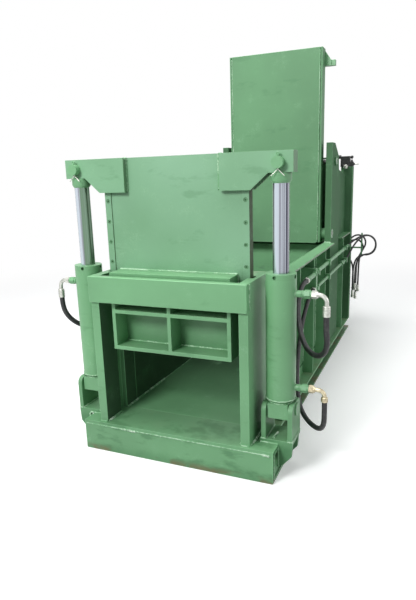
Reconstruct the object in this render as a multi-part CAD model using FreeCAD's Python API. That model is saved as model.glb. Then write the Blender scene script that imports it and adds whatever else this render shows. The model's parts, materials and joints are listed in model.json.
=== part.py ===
import FreeCAD, Part
import math
import os

V = FreeCAD.Vector
os.makedirs("parts", exist_ok=True)

# Horizontal hydraulic baler with a front lift gate, a hinged feed lid and a long main ram.
# Millimetres. X right, Y from the front (gate) to the rear, Z up. The origin is the middle
# of the front sill's underside, on the ground. It stands with the gate raised, the lid open
# and the ram drawn back.

# ---- chamber
chamber_half = 400.0          # half the clear width of the chamber and of the bale outlet
chamber_height = 780.0        # floor to the top of the walls
wall_plate = 12.0
cover_plate = 12.0
floor_plate = 20.0
flange_width = 82.0
flange_plate = 12.0
stiffener_depth = 74.0
stiffener_plate = 12.0
stiffener_pitch = 408.0
first_stiffener = 166.0       # behind the side plates
rail_width = 82.0
rail_height = 100.0
rail_wall = 10.0
floor_beam_plate = 12.0
floor_beam_height = 90.0
floor_beam_pitch = 540.0

# ---- front sill, side plates and lintel
sill_height = 176.0
sill_depth = 240.0
sill_plate = 20.0
sill_end_plate = 12.0
sill_right_past = 10.0        # past the gate cylinder's axis
sill_left_past = -18.0
post_thick = 48.5
post_front = -103.0
post_rear = 220.0
post_above_wall = 63.0
lintel_front = -120.0
lintel_thick = 40.0
lintel_height = 142.0

# ---- gate
gate_travel = 425.0
gate_floor_gap = 5.0          # left under the gate when it is down
gate_front = 52.0
gate_thick = 40.0
gate_in_slot = 11.0           # how far the gate's edges reach into the slots
slot_side_gap = 16.0
slot_face_gap = 5.0
strip_width = 38.0
strip_proud = 5.0
rear_strip_thick = 8.0
screw_pitch = 110.0
first_screw_drop = 45.0       # top screw below the arm
screw_count = 8
screw_head_r = 9.0
screw_head_height = 12.0
screw_socket_r = 5.0
screw_socket_depth = 7.0
screw_seat_r = 10.5
screw_seat_depth = 8.0        # into the gate plate
screw_r = 6.0
screw_length = 26.0
rib_plate = 20.0
rib_side_gap = 55.0
rib_grid_height = 428.0
rib_depth = 116.0

# ---- gate arms, hollow boxes that hold the rod eyes
arm_front = 20.0
arm_depth = 80.0
arm_cheek = 14.0
arm_cap = 10.0
arm_on_gate = 143.0           # length of the arm that lies on the gate
arm_past_cylinder = 68.0
arm_closed_gap = 4.0          # to the side plates when the gate is down
arm_height = 177.0
arm_slim_height = 99.0
arm_slope_start = 14.0        # past the gate's edge
arm_slope_length = 89.0

# ---- gate cylinders
cylinder_offset = 117.5       # from the side plate's outer face to the cylinder's axis
cylinder_y = 60.0
tube_outer_r = 76.0
tube_wall = 13.5
head_above_frame = 31.0
head_length = 28.0
head_hole_r = 9.5
head_hole_depth = 14.0
head_hole_count = 4
spigot_length = 60.0
piston_height = 60.0
tube_spare = 133.0            # tube length beyond the travel and the piston
tube_floor = 8.0
tube_end_play = 12.0
end_cone_height = 18.0
end_cone_r = 64.0
rod_r = 40.0
running_gap = 0.08
lug_half_x = 52.5
lug_half_y = 66.0
lug_height = 80.0
pin_below_tube = 59.0
clevis_above_sill = 140.0     # least height of the lower pin
clevis_pin_r = 25.0
ear_gap = 4.5
ear_plate = 24.0
ear_half_y = 85.0
ear_top_r = 40.0
bracket_plate = 20.0
bracket_inner_lip = 8.0
bracket_outer_lip = 2.0
gusset_drop = 126.0
gusset_nose = 46.0
pin_cap_r = 33.0
pin_cap_thick = 8.0
pin_inner_end = 6.0

# ---- rod eyes and upper pins
collar_gap = 3.0
collar_past_rod = 10.0
collar_height = 14.0
eye_thick = 50.0
eye_r = 40.0
arm_pin_r = 28.0
arm_pin_drop = 53.0           # below the top of the arm
arm_pin_proud = 36.0
arm_pin_rear = 12.0
split_pin_r = 2.8
split_pin_leg = 44.0
split_pin_play = 0.2
split_pin_ring_r = 6.0

# ---- ports, elbows and ferrules of the gate cylinders
upper_port_drop = 72.0        # below the cylinder head
lower_port_rise = 59.0        # above the tube's bottom
port_boss_r = 17.0
upper_boss_length = 76.0
left_boss_shorter = 16.0       # the left cylinder's upper boss
lower_boss_length = 68.0
rear_boss_length = 30.0
port_bore_r = 8.0
nut_r = 17.5
nut_length = 34.0
elbow_r = 11.0
upper_elbow_run = 0.5
upper_elbow_bend = 38.0
upper_elbow_drop = 14.0
upper_ferrule_length = 54.0
lower_elbow_run = 14.0
lower_elbow_bend = 31.0
lower_elbow_drop = 1.0
lower_ferrule_length = 26.0
ferrule_r = 18.5
plug_r = 15.0
plug_length = 12.0
hose_r = 14.5
lower_hose_r = 13.5
rear_hose_r = 8.0

# ---- lid
lid_side_gap = 44.0
lid_skin = 12.0
lid_front = 1902.0
lid_depth = 110.0
lid_above_wall = 6.0
lid_length = 1478.0
lid_frame_gap = 25.0
lid_frame_plate = 12.0
lid_seam = 3.0
lid_backing = 6.0
lid_rib_count = 5
hinge_behind_lid_face = 86.0
hinge_above_wall = 70.0
hinge_r = 30.0
hub_r = 45.0
hub_inside = 6.0
bay_half = 48.0
lock_bar_inner = 240.0
lock_bar_past_wall = 40.0
lock_bar_height = 42.0
lock_bar_depth = 38.0
lock_bar_below_top = 122.0
lock_gusset_plate = 12.0

# ---- lid cylinders
lid_cylinder_inset = 78.0     # from the chamber wall's inner face
lid_shaft_behind_hinge = 60.0
lid_shaft_above_hinge = 576.0
lid_shaft_r = 20.0
boss_r = 35.0
boss_thick = 14.0
lug_forward = 40.0            # lug pin from the hinge axis, with the lid open
lug_above = 105.0
lid_eye_r = 30.0
lid_eye_thick = 40.0
lid_pin_r = 15.0
lid_pin_proud = 3.0
lid_lug_gap = 1.0
lid_lug_plate = 16.0
lid_lug_r = 34.0
lid_tube_r = 38.0
lid_tube_wall = 6.5
lid_rod_r = 18.0
lid_head_from_eye = 56.0      # from the barrel's mouth to the rod eye, rod drawn in
lid_head_length = 26.0
lid_piston_length = 40.0
lid_base_eye_r = 34.0
lid_bore_start = 50.0
shaft_gap = 0.05

# ---- towers
tower_thick = 48.0
tower_behind_lid_face = 26.0
tower_depth = 382.0
tower_low = 100.0
tower_knee = 274.0            # above the hinge axis
tower_shoulder = 620.0
tower_above_shaft = 142.0
tower_shoulder_depth = 300.0
tower_top_depth = 128.0
stay_plate = 20.0
stay_height = 610.0           # above the walls, at the tower
stay_rear_height = 530.0
brace_plate = 20.0
brace_inset = 150.0
brace_height = 680.0
brace_box = 90.0              # room between the brace and its back plate
brace_back_plate = 12.0
brace_back_height = 300.0
window_half = 70.0
window_x = 287.0
window_sill = 30.0
window_height = 170.0

# ---- covers over the chamber
cover_behind_gate = 25.0
feed_gap = 9.0                # from the closed lid's edge to the front cover
rear_cover_gap = 18.0
cover_rib_height = 60.0
cover_rib_plate = 12.0
cover_rib_x = 200.0

# ---- main ram and its cylinder
ram_behind_lid_face = 208.0
ram_clear = 4.0
ram_top_gap = 40.0
ram_face_plate = 40.0
ram_wall = 16.0
ram_length = 700.0
ram_stroke = 1500.0
ram_rear_gap = 30.0
main_axis_above_floor = 384.0
main_tube_r = 122.5
main_tube_wall = 22.5
main_rod_r = 70.0
rod_flange_r = 115.0
rod_flange_thick = 40.0
main_head_behind_face = 150.0
main_head_length = 90.0
main_piston_length = 110.0
main_end_play = 10.0
main_front_play = 40.0
main_end_plate = 50.0
crosshead_plate = 60.0
main_flange_r = 190.0
main_flange_thick = 50.0
flange_bolt_circle_r = 157.0
flange_bolt_r = 12.0
flange_bolt_head_r = 18.0
flange_bolt_head = 15.0
flange_bolt_depth = 40.0
flange_bolt_count = 8
saddle_half = 150.0
saddle_thick = 60.0
saddle_inset = 100.0
saddle_foot = 90.0
saddle_foot_plate = 20.0

# ---- side pipes and manifold
pipe_past_wall = 90.0
upper_pipe_drop = 108.0       # heights below the top of the walls
lower_pipe_drop = 218.0
pipe_r = 14.0
thin_pipe_r = 10.0
lower_pipe_r = 12.0
manifold_y = 1130.0
manifold_depth = 40.0
manifold_top_drop = 74.0
manifold_height = 167.0
manifold_width = 104.0
upper_pipe_step = 2334.0
upper_pipe_rear = 2580.0
lower_pipe_rear = 2440.0
coupling_r = 19.0
coupling_length = 62.0
coupling_y = 2220.0
clamp_length = 30.0
clamp_margin = 9.0
stub_past_wall = 90.0
stub_drop = 113.0
stub_r = 16.0
stub_length = 220.0
lower_stub_length = 40.0
stub_nut_r = 21.0
stub_nut_length = 24.0
left_block_y = 1010.0
left_block_depth = 60.0
left_block_drop = 96.0
left_block_height = 70.0

# ---- valve stand, hanger and rear hose ends
stand_width = 88.0
stand_y = 2760.0
stand_depth = 60.0
stand_wall = 8.0
stand_height = 1460.0
valve_width = 84.0
valve_overhang = 27.0
valve_height = 95.0
side_valve_height = 44.0
valve_fitting_r = 14.0
valve_fitting_length = 60.0
valve_pipe_r = 7.0
lever_pin_r = 4.0
lever_hub_r = 8.0
lever_hub_length = 18.0
lever_ear_plate = 4.0
lever_ear_reach = 14.0
lever_rod_r = 5.0
side_lever_length = 36.0
knob_lever_length = 22.0
knob_r = 14.0
hanger_bar = 14.0
hanger_x = 592.0
hanger_low = 726.0
hanger_high = 945.0
hanger_arm_z = 798.0
end_ferrule_r = 13.0
end_ferrule_length = 45.0
end_nut_r = 16.0
end_nut_length = 22.0

fit = 0.3                     # between pieces that move past each other


# ---- levels and places that several pieces share

floor_top = sill_height
wall_top = floor_top + chamber_height
flange_under = wall_top - flange_plate
wall_outer = chamber_half + wall_plate
flange_outer = wall_outer + flange_width
stiffener_outer = wall_outer + stiffener_depth
post_outer = chamber_half + post_thick
frame_top = wall_top + post_above_wall
lintel_low = frame_top - lintel_height
floor_front = sill_depth / 2

cylinder_x = post_outer + cylinder_offset
sill_right = cylinder_x + sill_right_past
sill_left = cylinder_x + sill_left_past

tube_length = gate_travel + piston_height + tube_spare
lowest_head = sill_height + clevis_above_sill + pin_below_tube + tube_length + head_length
head_top = max(frame_top + head_above_frame, lowest_head)

gate_half = chamber_half + gate_in_slot
gate_rear = gate_front + gate_thick
gate_bottom = floor_top + gate_floor_gap + gate_travel
arm_low_z = head_top - head_above_frame + arm_closed_gap + gate_travel
gate_top = arm_low_z + arm_height
arm_slim_z = gate_top - arm_slim_height
arm_inner = gate_half - arm_on_gate
arm_outer = cylinder_x + arm_past_cylinder
arm_rear = arm_front + arm_depth
arm_pin_z = gate_top - arm_pin_drop
slot_front = gate_front - strip_proud - slot_face_gap
slot_rear = gate_rear + rear_strip_thick + slot_face_gap
screw_x = gate_half - strip_width / 2

head_bottom = head_top - head_length
tube_bore_r = tube_outer_r - tube_wall
tube_bottom = head_bottom - tube_length
rod_low = tube_bottom + tube_floor + tube_end_play + gate_travel
collar_low = head_top + collar_gap + gate_travel
collar_r = rod_r + collar_past_rod
clevis_pin_z = tube_bottom - pin_below_tube
lug_top = tube_bottom - end_cone_height
upper_port_z = head_bottom - upper_port_drop
lower_port_z = tube_bottom + lower_port_rise
left_boss_length = upper_boss_length - left_boss_shorter
bracket_inner = cylinder_x - lug_half_x - ear_gap - ear_plate
bracket_outer = cylinder_x + lug_half_x + ear_gap + ear_plate

hinge_y = lid_front + hinge_behind_lid_face
hinge_z = wall_top + hinge_above_wall
lid_half = chamber_half - lid_side_gap
lid_rear = lid_front + lid_depth
lid_bottom = wall_top + lid_above_wall
lid_top = lid_bottom + lid_length
lid_frame_half = chamber_half - lid_frame_gap
lid_cylinder_x = chamber_half - lid_cylinder_inset
lid_shaft_y = hinge_y + lid_shaft_behind_hinge
lid_shaft_z = hinge_z + lid_shaft_above_hinge
lid_bore_r = lid_tube_r - lid_tube_wall

tower_outer = wall_outer + tower_thick
tower_front = lid_front + tower_behind_lid_face
tower_rear = tower_front + tower_depth
brace_y = tower_rear - brace_inset

feed_front = hinge_y - (lid_top - hinge_z) - feed_gap
cover_front = slot_rear + cover_behind_gate - slot_face_gap
rear_cover_start = hinge_y + math.hypot(lid_rear - hinge_y, hinge_z - lid_bottom) + rear_cover_gap

ram_face_y = lid_front + ram_behind_lid_face
ram_back_y = ram_face_y + ram_face_plate
chamber_rear = ram_face_y + ram_length + ram_rear_gap
crosshead_rear = chamber_rear + crosshead_plate
main_axis_z = floor_top + main_axis_above_floor
main_bore_r = main_tube_r - main_tube_wall
main_head_y = ram_face_y + main_head_behind_face
main_bore_front = main_head_y + main_head_length
main_piston_y = main_bore_front + ram_stroke + main_front_play
main_bore_rear = main_piston_y + main_piston_length + main_end_play
main_tube_rear = main_bore_rear + main_end_plate
saddle_y = main_tube_rear - saddle_inset

pipe_x = wall_outer + pipe_past_wall
upper_pipe_z = wall_top - upper_pipe_drop
lower_pipe_z = wall_top - lower_pipe_drop
manifold_high = wall_top - manifold_top_drop
manifold_low = manifold_high - manifold_height
stub_z = wall_top - stub_drop
left_block_low = wall_top - left_block_drop - left_block_height
stub_x = wall_outer + stub_past_wall
stand_outer = wall_outer + stand_width
stand_top = rail_height + stand_height
stand_middle = stand_y + stand_depth / 2
valve_inner = wall_outer - valve_overhang
side_valve_x = valve_inner + valve_width
side_lever_x = stand_outer + lever_ear_reach / 2
side_lever_z = stand_top + side_valve_height / 2
knob_lever_x = (side_valve_x + stand_outer) / 2
knob_lever_z = stand_top + side_valve_height + lever_ear_reach / 2


# ---- small shape helpers

def block(x0, x1, y0, y1, z0, z1):
    return Part.makeBox(x1 - x0, y1 - y0, z1 - z0, V(x0, y0, z0))


def round_x(x0, x1, y, z, r):
    return Part.makeCylinder(r, x1 - x0, V(x0, y, z), V(1, 0, 0))


def round_y(x, y0, y1, z, r):
    return Part.makeCylinder(r, y1 - y0, V(x, y0, z), V(0, 1, 0))


def round_z(x, y, z0, z1, r):
    return Part.makeCylinder(r, z1 - z0, V(x, y, z0), V(0, 0, 1))


def prism(points, direction):
    wire = Part.makePolygon(points + [points[0]])
    return Part.Face(wire).extrude(direction)


def prism_x(outline, x0, x1):
    return prism([V(x0, y, z) for y, z in outline], V(x1 - x0, 0, 0))


def prism_y(outline, y0, y1):
    return prism([V(x, y0, z) for x, z in outline], V(0, y1 - y0, 0))


def hexagon_y(x, y0, y1, z, r):
    corners = [(x + r * math.cos(math.radians(60 * i)), z + r * math.sin(math.radians(60 * i)))
               for i in range(6)]
    return prism_y(corners, y0, y1)


def joined(shapes):
    first = shapes[0]
    if len(shapes) > 1:
        first = first.multiFuse(shapes[1:])
    return first.removeSplitter()


def without(shape, cutters):
    for cutter in cutters:
        shape = shape.cut(cutter)
    return shape


def mirrored(shape):
    return shape.mirror(V(0, 0, 0), V(1, 0, 0))


def both_sides(shapes):
    pieces = []
    for shape in shapes:
        pieces += [shape, mirrored(shape)]
    return pieces


def save(name, shapes):
    solids = []
    for shape in shapes:
        solids += shape.Solids
    out = solids[0] if len(solids) == 1 else Part.makeCompound(solids)
    out.exportStep("parts/" + name + ".step")
    volume = sum(solid.Volume for solid in solids)
    print(f"{name}: {len(solids)} solid(s), {volume / 1000:.0f} cm3, valid {out.isValid()}")


# ---- frame

def front_sill():
    half = sill_depth / 2
    beam = block(-sill_left, sill_right, -half, half, 0, sill_height)
    hollow = block(-sill_left, sill_right, -half + sill_plate, half - sill_plate,
                   sill_plate, sill_height - sill_plate)
    left_end = block(-sill_left, -sill_left + sill_end_plate, -half + sill_plate,
                     half - sill_plate, sill_plate, sill_height - sill_plate)
    right_end = block(sill_right - sill_end_plate, sill_right, -half + sill_plate,
                      half - sill_plate, sill_plate, sill_height - sill_plate)
    return [beam.cut(hollow), left_end, right_end]


def lintel():
    return block(-post_outer, post_outer, lintel_front, lintel_front + lintel_thick,
                 lintel_low, frame_top)


def right_post():
    plate = block(chamber_half, post_outer, post_front, post_rear, floor_top, frame_top)
    slot = block(chamber_half, gate_half + slot_side_gap, slot_front, slot_rear,
                 floor_top, frame_top)
    return without(plate, [slot, lintel()])


def chamber_floor():
    return block(-wall_outer, wall_outer, floor_front, chamber_rear,
                 floor_top - floor_plate, floor_top)


def floor_beams():
    beams = []
    low = floor_top - floor_plate - floor_beam_height
    y = floor_front + floor_beam_pitch / 2
    while y + floor_beam_plate < chamber_rear:
        beams.append(block(-wall_outer + rail_wall, wall_outer - rail_wall, y,
                           y + floor_beam_plate, low, floor_top - floor_plate))
        y += floor_beam_pitch
    return beams


def right_wall():
    return block(chamber_half, wall_outer, post_rear, chamber_rear, floor_top, wall_top)


def right_flanges():
    front = block(wall_outer, flange_outer, post_rear, tower_front, flange_under, wall_top)
    rear = block(wall_outer, flange_outer, tower_rear, stand_y, flange_under, wall_top)
    return [front, rear]


def right_rail():
    web = block(wall_outer - rail_wall, wall_outer, floor_front, chamber_rear,
                0, floor_top - floor_plate)
    channel = block(wall_outer, wall_outer + rail_width, floor_front, chamber_rear,
                    0, rail_height)
    room = block(wall_outer, wall_outer + rail_width, floor_front, chamber_rear,
                 rail_wall, rail_height - rail_wall)
    return joined([web, channel.cut(room)])


def stiffener_places():
    places = []
    y = post_rear + first_stiffener
    while y + stiffener_plate < stand_y:
        if y + stiffener_plate < tower_front or y > tower_rear:
            places.append(y)
        y += stiffener_pitch
    return places


def right_stiffeners():
    return [block(wall_outer, stiffener_outer, y, y + stiffener_plate, rail_height, flange_under)
            for y in stiffener_places()]


def cover(y0, y1, rib_start):
    plate = block(-chamber_half, chamber_half, y0, y1, wall_top - cover_plate, wall_top)
    half = cover_rib_plate / 2
    ribs = [block(x - half, x + half, rib_start, y1, wall_top, wall_top + cover_rib_height)
            for x in (-cover_rib_x, cover_rib_x)]
    return joined([plate] + ribs)


def front_cover():
    bar = block(-chamber_half, chamber_half, cover_front, cover_front + cover_rib_plate,
                wall_top, wall_top + cover_rib_height)
    return joined([cover(cover_front, feed_front, cover_front), bar])


def rear_cover():
    return cover(rear_cover_start, chamber_rear,
                 brace_y + brace_plate + brace_box + brace_back_plate)


def right_tower():
    y0 = tower_front
    outline = [(y0, tower_low), (tower_rear, tower_low), (tower_rear - 10, hinge_z + tower_knee),
               (y0 + tower_shoulder_depth, hinge_z + tower_shoulder),
               (y0 + tower_top_depth, lid_shaft_z + tower_above_shaft),
               (y0, lid_shaft_z + tower_above_shaft)]
    plate = prism_x(outline, wall_outer, tower_outer)
    y1 = y0 + tower_shoulder_depth - stay_plate
    stay_outline = [(y1, wall_top), (stand_y, wall_top), (stand_y, wall_top + stay_rear_height),
                    (y1, wall_top + stay_height)]
    stay = prism_x(stay_outline, wall_outer, wall_outer + stay_plate)
    boss = round_x(tower_outer, tower_outer + boss_thick, lid_shaft_y, lid_shaft_z, boss_r)
    return without(joined([plate, stay, boss]), [hinge_shaft(), lid_cylinder_shaft()])


def tower_brace():
    plate = block(-wall_outer, wall_outer, brace_y, brace_y + brace_plate, wall_top,
                  wall_top + brace_height)
    windows = []
    for x in (-window_x, window_x):
        low = wall_top + window_sill
        top = low + window_height - window_half
        square = block(x - window_half, x + window_half, brace_y, brace_y + brace_plate, low, top)
        windows.append(square.fuse(round_y(x, brace_y, brace_y + brace_plate, top, window_half)))
    y1 = brace_y + brace_plate + brace_box
    back = block(-wall_outer, wall_outer, y1, y1 + brace_back_plate, wall_top,
                 wall_top + brace_back_height)
    lid = block(-wall_outer, wall_outer, brace_y + brace_plate, y1,
                wall_top + brace_back_height - brace_back_plate, wall_top + brace_back_height)
    return joined([without(plate, windows), back, lid])


def rear_crosshead():
    plate = block(-wall_outer, wall_outer, chamber_rear, crosshead_rear, 0, wall_top)
    return plate.cut(round_y(0, chamber_rear, crosshead_rear, main_axis_z, main_tube_r))


def hinge_shaft():
    return round_x(-tower_outer, tower_outer, hinge_y, hinge_z, hinge_r)


def lid_cylinder_shaft():
    reach = tower_outer + boss_thick
    return round_x(-reach, reach, lid_shaft_y, lid_shaft_z, lid_shaft_r)


# ---- gate cylinders and their brackets

def bracket_ear(x):
    y0 = cylinder_y - ear_half_y
    y1 = cylinder_y + ear_half_y
    low = sill_height + bracket_plate
    top = clevis_pin_z + ear_top_r
    return joined([block(x, x + ear_plate, y0, y1, low, clevis_pin_z),
                   block(x, x + ear_plate, y0 + ear_top_r, y1 - ear_top_r, low, top),
                   round_x(x, x + ear_plate, y0 + ear_top_r, clevis_pin_z, ear_top_r),
                   round_x(x, x + ear_plate, y1 - ear_top_r, clevis_pin_z, ear_top_r)])


def right_bracket():
    y0 = cylinder_y - ear_half_y
    y1 = cylinder_y + ear_half_y
    plate = block(bracket_inner - bracket_inner_lip, bracket_outer + bracket_outer_lip, y0, y1,
                  sill_height, sill_height + bracket_plate)
    nose = bracket_outer + bracket_outer_lip
    low = sill_height - gusset_drop
    gusset = [(sill_right, sill_height), (nose, sill_height), (nose - 5, low + 63),
              (nose - gusset_nose, low + 16), (sill_right, low)]
    pieces = [plate, bracket_ear(bracket_inner), bracket_ear(bracket_outer - ear_plate)]
    for y in (y0, floor_front - bracket_plate):
        pieces.append(prism_y(gusset, y, y + bracket_plate))
    return joined(pieces).cut(clevis_pin())


def clevis_pin():
    shank = round_x(bracket_inner - pin_inner_end, bracket_outer, cylinder_y, clevis_pin_z,
                    clevis_pin_r)
    cap = round_x(bracket_outer, bracket_outer + pin_cap_thick, cylinder_y, clevis_pin_z,
                  pin_cap_r)
    return joined([shank, cap])


def gate_barrel(upper_boss, lower_port_at_rear):
    tube = round_z(cylinder_x, cylinder_y, tube_bottom, head_bottom, tube_outer_r)
    end = Part.makeCone(end_cone_r, tube_outer_r, end_cone_height,
                        V(cylinder_x, cylinder_y, lug_top), V(0, 0, 1))
    lug = block(cylinder_x - lug_half_x, cylinder_x + lug_half_x, cylinder_y - lug_half_y,
                cylinder_y + lug_half_y, lug_top - lug_height, lug_top)
    out_x = cylinder_x + tube_outer_r
    out_y = cylinder_y + tube_outer_r
    upper = round_x(cylinder_x, out_x + upper_boss, cylinder_y, upper_port_z, port_boss_r)
    cuts = [round_z(cylinder_x, cylinder_y, tube_bottom + tube_floor, head_bottom, tube_bore_r),
            round_x(cylinder_x, out_x + upper_boss, cylinder_y, upper_port_z, port_bore_r),
            clevis_pin()]
    if lower_port_at_rear:
        lower = round_y(cylinder_x, cylinder_y, out_y + rear_boss_length, lower_port_z,
                        port_boss_r)
        cuts.append(round_y(cylinder_x, cylinder_y, out_y + rear_boss_length, lower_port_z,
                            port_bore_r))
    else:
        lower = round_x(cylinder_x, out_x + lower_boss_length, cylinder_y, lower_port_z,
                        port_boss_r)
        cuts.append(round_x(cylinder_x, out_x + lower_boss_length, cylinder_y, lower_port_z,
                            port_bore_r))
    return without(joined([tube, end, lug, upper, lower]), cuts)


def port_plug():
    y = cylinder_y + tube_outer_r + rear_boss_length
    return round_y(-cylinder_x, y, y + plug_length, lower_port_z, plug_r)


def cylinder_head():
    ring = round_z(cylinder_x, cylinder_y, head_bottom, head_top, tube_outer_r)
    spigot = round_z(cylinder_x, cylinder_y, head_bottom - spigot_length, head_bottom,
                     tube_bore_r)
    bore = round_z(cylinder_x, cylinder_y, head_bottom - spigot_length, head_top,
                   rod_r + running_gap)
    port = round_x(cylinder_x, cylinder_x + tube_bore_r, cylinder_y, upper_port_z, port_bore_r)
    shape = without(joined([ring, spigot]), [bore, port])
    for turn in range(head_hole_count):
        angle = math.radians(-100 + 360 / head_hole_count * turn)
        out = V(math.cos(angle), math.sin(angle), 0)
        middle = V(cylinder_x, cylinder_y, (head_bottom + head_top) / 2)
        start = middle + out * (tube_outer_r - head_hole_depth)
        shape = shape.cut(Part.makeCylinder(head_hole_r, head_hole_depth, start, out))
    return shape


def gate_rod():
    return round_z(cylinder_x, cylinder_y, rod_low, collar_low, rod_r)


def gate_piston():
    disc = round_z(cylinder_x, cylinder_y, rod_low, rod_low + piston_height, tube_bore_r - fit)
    return disc.cut(gate_rod())


def rod_eye():
    neck_low = collar_low + collar_height
    neck_high = arm_slim_z - fit
    taper = Part.makeCone(rod_r + 2, collar_r, collar_height, V(cylinder_x, cylinder_y, collar_low),
                          V(0, 0, 1))
    neck = round_z(cylinder_x, cylinder_y, neck_low, neck_high, collar_r)
    y0 = cylinder_y - eye_thick / 2
    y1 = cylinder_y + eye_thick / 2
    eye = round_y(cylinder_x, y0, y1, arm_pin_z, eye_r)
    web = block(cylinder_x - eye_r, cylinder_x + eye_r, y0, y1, neck_high - 1, arm_pin_z)
    return joined([taper, neck, eye, web]).cut(arm_pin_shank())


# ---- gate

def screw_heights():
    first = arm_low_z - first_screw_drop
    heights = [first - i * screw_pitch for i in range(screw_count)]
    return [z for z in heights if z > gate_bottom + screw_seat_r]


def screw_seat(z):
    return round_y(screw_x, gate_front - strip_proud, gate_front + screw_seat_depth, z,
                   screw_seat_r)


def screw_shank(z):
    y = gate_front + screw_seat_depth
    return round_y(screw_x, y, y + screw_length, z, screw_r)


def strip_screw(z):
    y1 = gate_front + screw_seat_depth
    y0 = y1 - screw_head_height
    head = round_y(screw_x, y0, y1, z, screw_head_r)
    socket = hexagon_y(screw_x, y0, y0 + screw_socket_depth, z, screw_socket_r)
    return joined([head, screw_shank(z)]).cut(socket)


def gate_plate():
    plate = block(-gate_half, gate_half, gate_front, gate_rear, gate_bottom, gate_top)
    holes = []
    for z in screw_heights():
        holes += [screw_seat(z), screw_shank(z)]
    return without(plate, both_sides(holes))


def gate_strips():
    x0 = gate_half - strip_width
    front = block(x0, gate_half, gate_front - strip_proud, gate_front, gate_bottom, arm_low_z)
    rear = block(x0, gate_half, gate_rear, gate_rear + rear_strip_thick, gate_bottom, arm_low_z)
    return both_sides([without(front, [screw_seat(z) for z in screw_heights()]), rear])


def gate_ribs():
    y0 = gate_front - rib_depth
    half = chamber_half - rib_side_gap
    top = gate_bottom + rib_grid_height
    middle = gate_bottom + (rib_grid_height - rib_plate) / 2
    parts = [block(-half, half, y0, gate_front, z, z + rib_plate)
             for z in (gate_bottom, middle, top - rib_plate)]
    for x in (-half, -rib_plate / 2, half - rib_plate):
        parts.append(block(x, x + rib_plate, y0, gate_front, gate_bottom, top))
    return joined(parts)


def arm_outline(inner):
    slope_x = gate_half + arm_slope_start
    return [(inner, gate_top), (arm_outer, gate_top), (arm_outer, arm_slim_z),
            (slope_x + arm_slope_length, arm_slim_z), (slope_x, arm_low_z), (inner, arm_low_z)]


def right_arm():
    front = prism_y(arm_outline(arm_inner), arm_front, gate_front)
    rear = prism_y(arm_outline(gate_half), gate_front, arm_rear)
    room = block(gate_half + arm_cheek, arm_outer - arm_cheek, arm_front + arm_cheek,
                 arm_rear - arm_cheek, arm_low_z, gate_top - arm_cap)
    return without(joined([front, rear]), [room, arm_pin_shank()])


def arm_pin_shank():
    return round_y(cylinder_x, arm_front - arm_pin_proud, arm_rear + arm_pin_rear, arm_pin_z,
                   arm_pin_r)


def arm_pin():
    return arm_pin_shank().cut(round_z(cylinder_x, split_pin_y(), arm_pin_z - arm_pin_r,
                                       arm_pin_z + arm_pin_r, split_pin_r + split_pin_play))


def split_pin_y():
    return arm_front - arm_pin_proud / 2


def split_pin():
    y = split_pin_y()
    low = arm_pin_z - arm_pin_r - 4
    high = arm_pin_z + arm_pin_r + 6
    pieces = [round_z(cylinder_x, y, low, high, split_pin_r),
              Part.makeTorus(split_pin_ring_r, split_pin_r,
                             V(cylinder_x, y, high + split_pin_ring_r - 2), V(0, 1, 0))]
    for side in (-1, 1):
        pieces.append(Part.makeCylinder(split_pin_r - 0.6, split_pin_leg,
                                        V(cylinder_x, y, low + 2), V(side * 0.72, -0.05, -0.7)))
    return joined(pieces)


# ---- lid

def lid_skin_plate():
    return block(-lid_half, lid_half, lid_front, lid_front + lid_skin, lid_bottom, lid_top)


def lid_rib_levels():
    step = (lid_length - lid_frame_plate) / lid_rib_count
    return [lid_bottom + i * step for i in range(lid_rib_count)]


def lid_frame():
    y0 = lid_front + lid_skin
    p = lid_frame_plate
    side_in = lid_frame_half - p
    bay_in = lid_cylinder_x - bay_half
    inner = bay_in - p
    half = [block(side_in, lid_frame_half, lid_front + lid_seam, lid_rear, lid_bottom, lid_top),
            block(lid_half - p, side_in, y0, y0 + lid_backing, lid_bottom, lid_top),
            block(inner, bay_in, y0, lid_rear, lid_bottom, lid_top),
            round_x(lid_frame_half - p - hub_inside, wall_outer - fit, hinge_y, hinge_z, hub_r)]
    half += lid_lugs()
    for z in lid_rib_levels():
        if z > lid_shaft_z + hub_r:
            half.append(block(bay_in, side_in, y0, lid_rear, z, z + p))
    middle = [block(-p / 2, p / 2, y0, lid_rear, lid_bottom, lid_top),
              block(-side_in, side_in, y0, lid_rear, lid_top - p, lid_top)]
    for z in lid_rib_levels():
        middle.append(block(-inner, inner, y0, lid_rear, z, z + p))
    shaft = round_x(-wall_outer, wall_outer, hinge_y, hinge_z, hinge_r + shaft_gap)
    return joined(both_sides(half) + middle).cut(shaft)


def lug_place(edge):
    middle = lid_cylinder_x + edge * (lid_eye_thick / 2 + lid_lug_gap + lid_lug_plate / 2)
    return middle - lid_lug_plate / 2, middle + lid_lug_plate / 2


def lid_lugs():
    y = hinge_y - lug_forward
    z = hinge_z + lug_above
    lugs = []
    for edge in (-1, 1):
        x0, x1 = lug_place(edge)
        foot = block(x0, x1, lid_front + lid_skin, y, z - lid_lug_r, z + lid_lug_r)
        lug = joined([round_x(x0, x1, y, z, lid_lug_r), foot])
        lugs.append(lug.cut(round_x(x0, x1, y, z, lid_pin_r)))
    return lugs


def lid_pin_stubs():
    y = hinge_y - lug_forward
    z = hinge_z + lug_above
    inner0, inner1 = lug_place(-1)
    outer0, outer1 = lug_place(1)
    return [round_x(inner0 - lid_pin_proud, inner1, y, z, lid_pin_r),
            round_x(outer0, outer1 + lid_pin_proud, y, z, lid_pin_r)]


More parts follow.
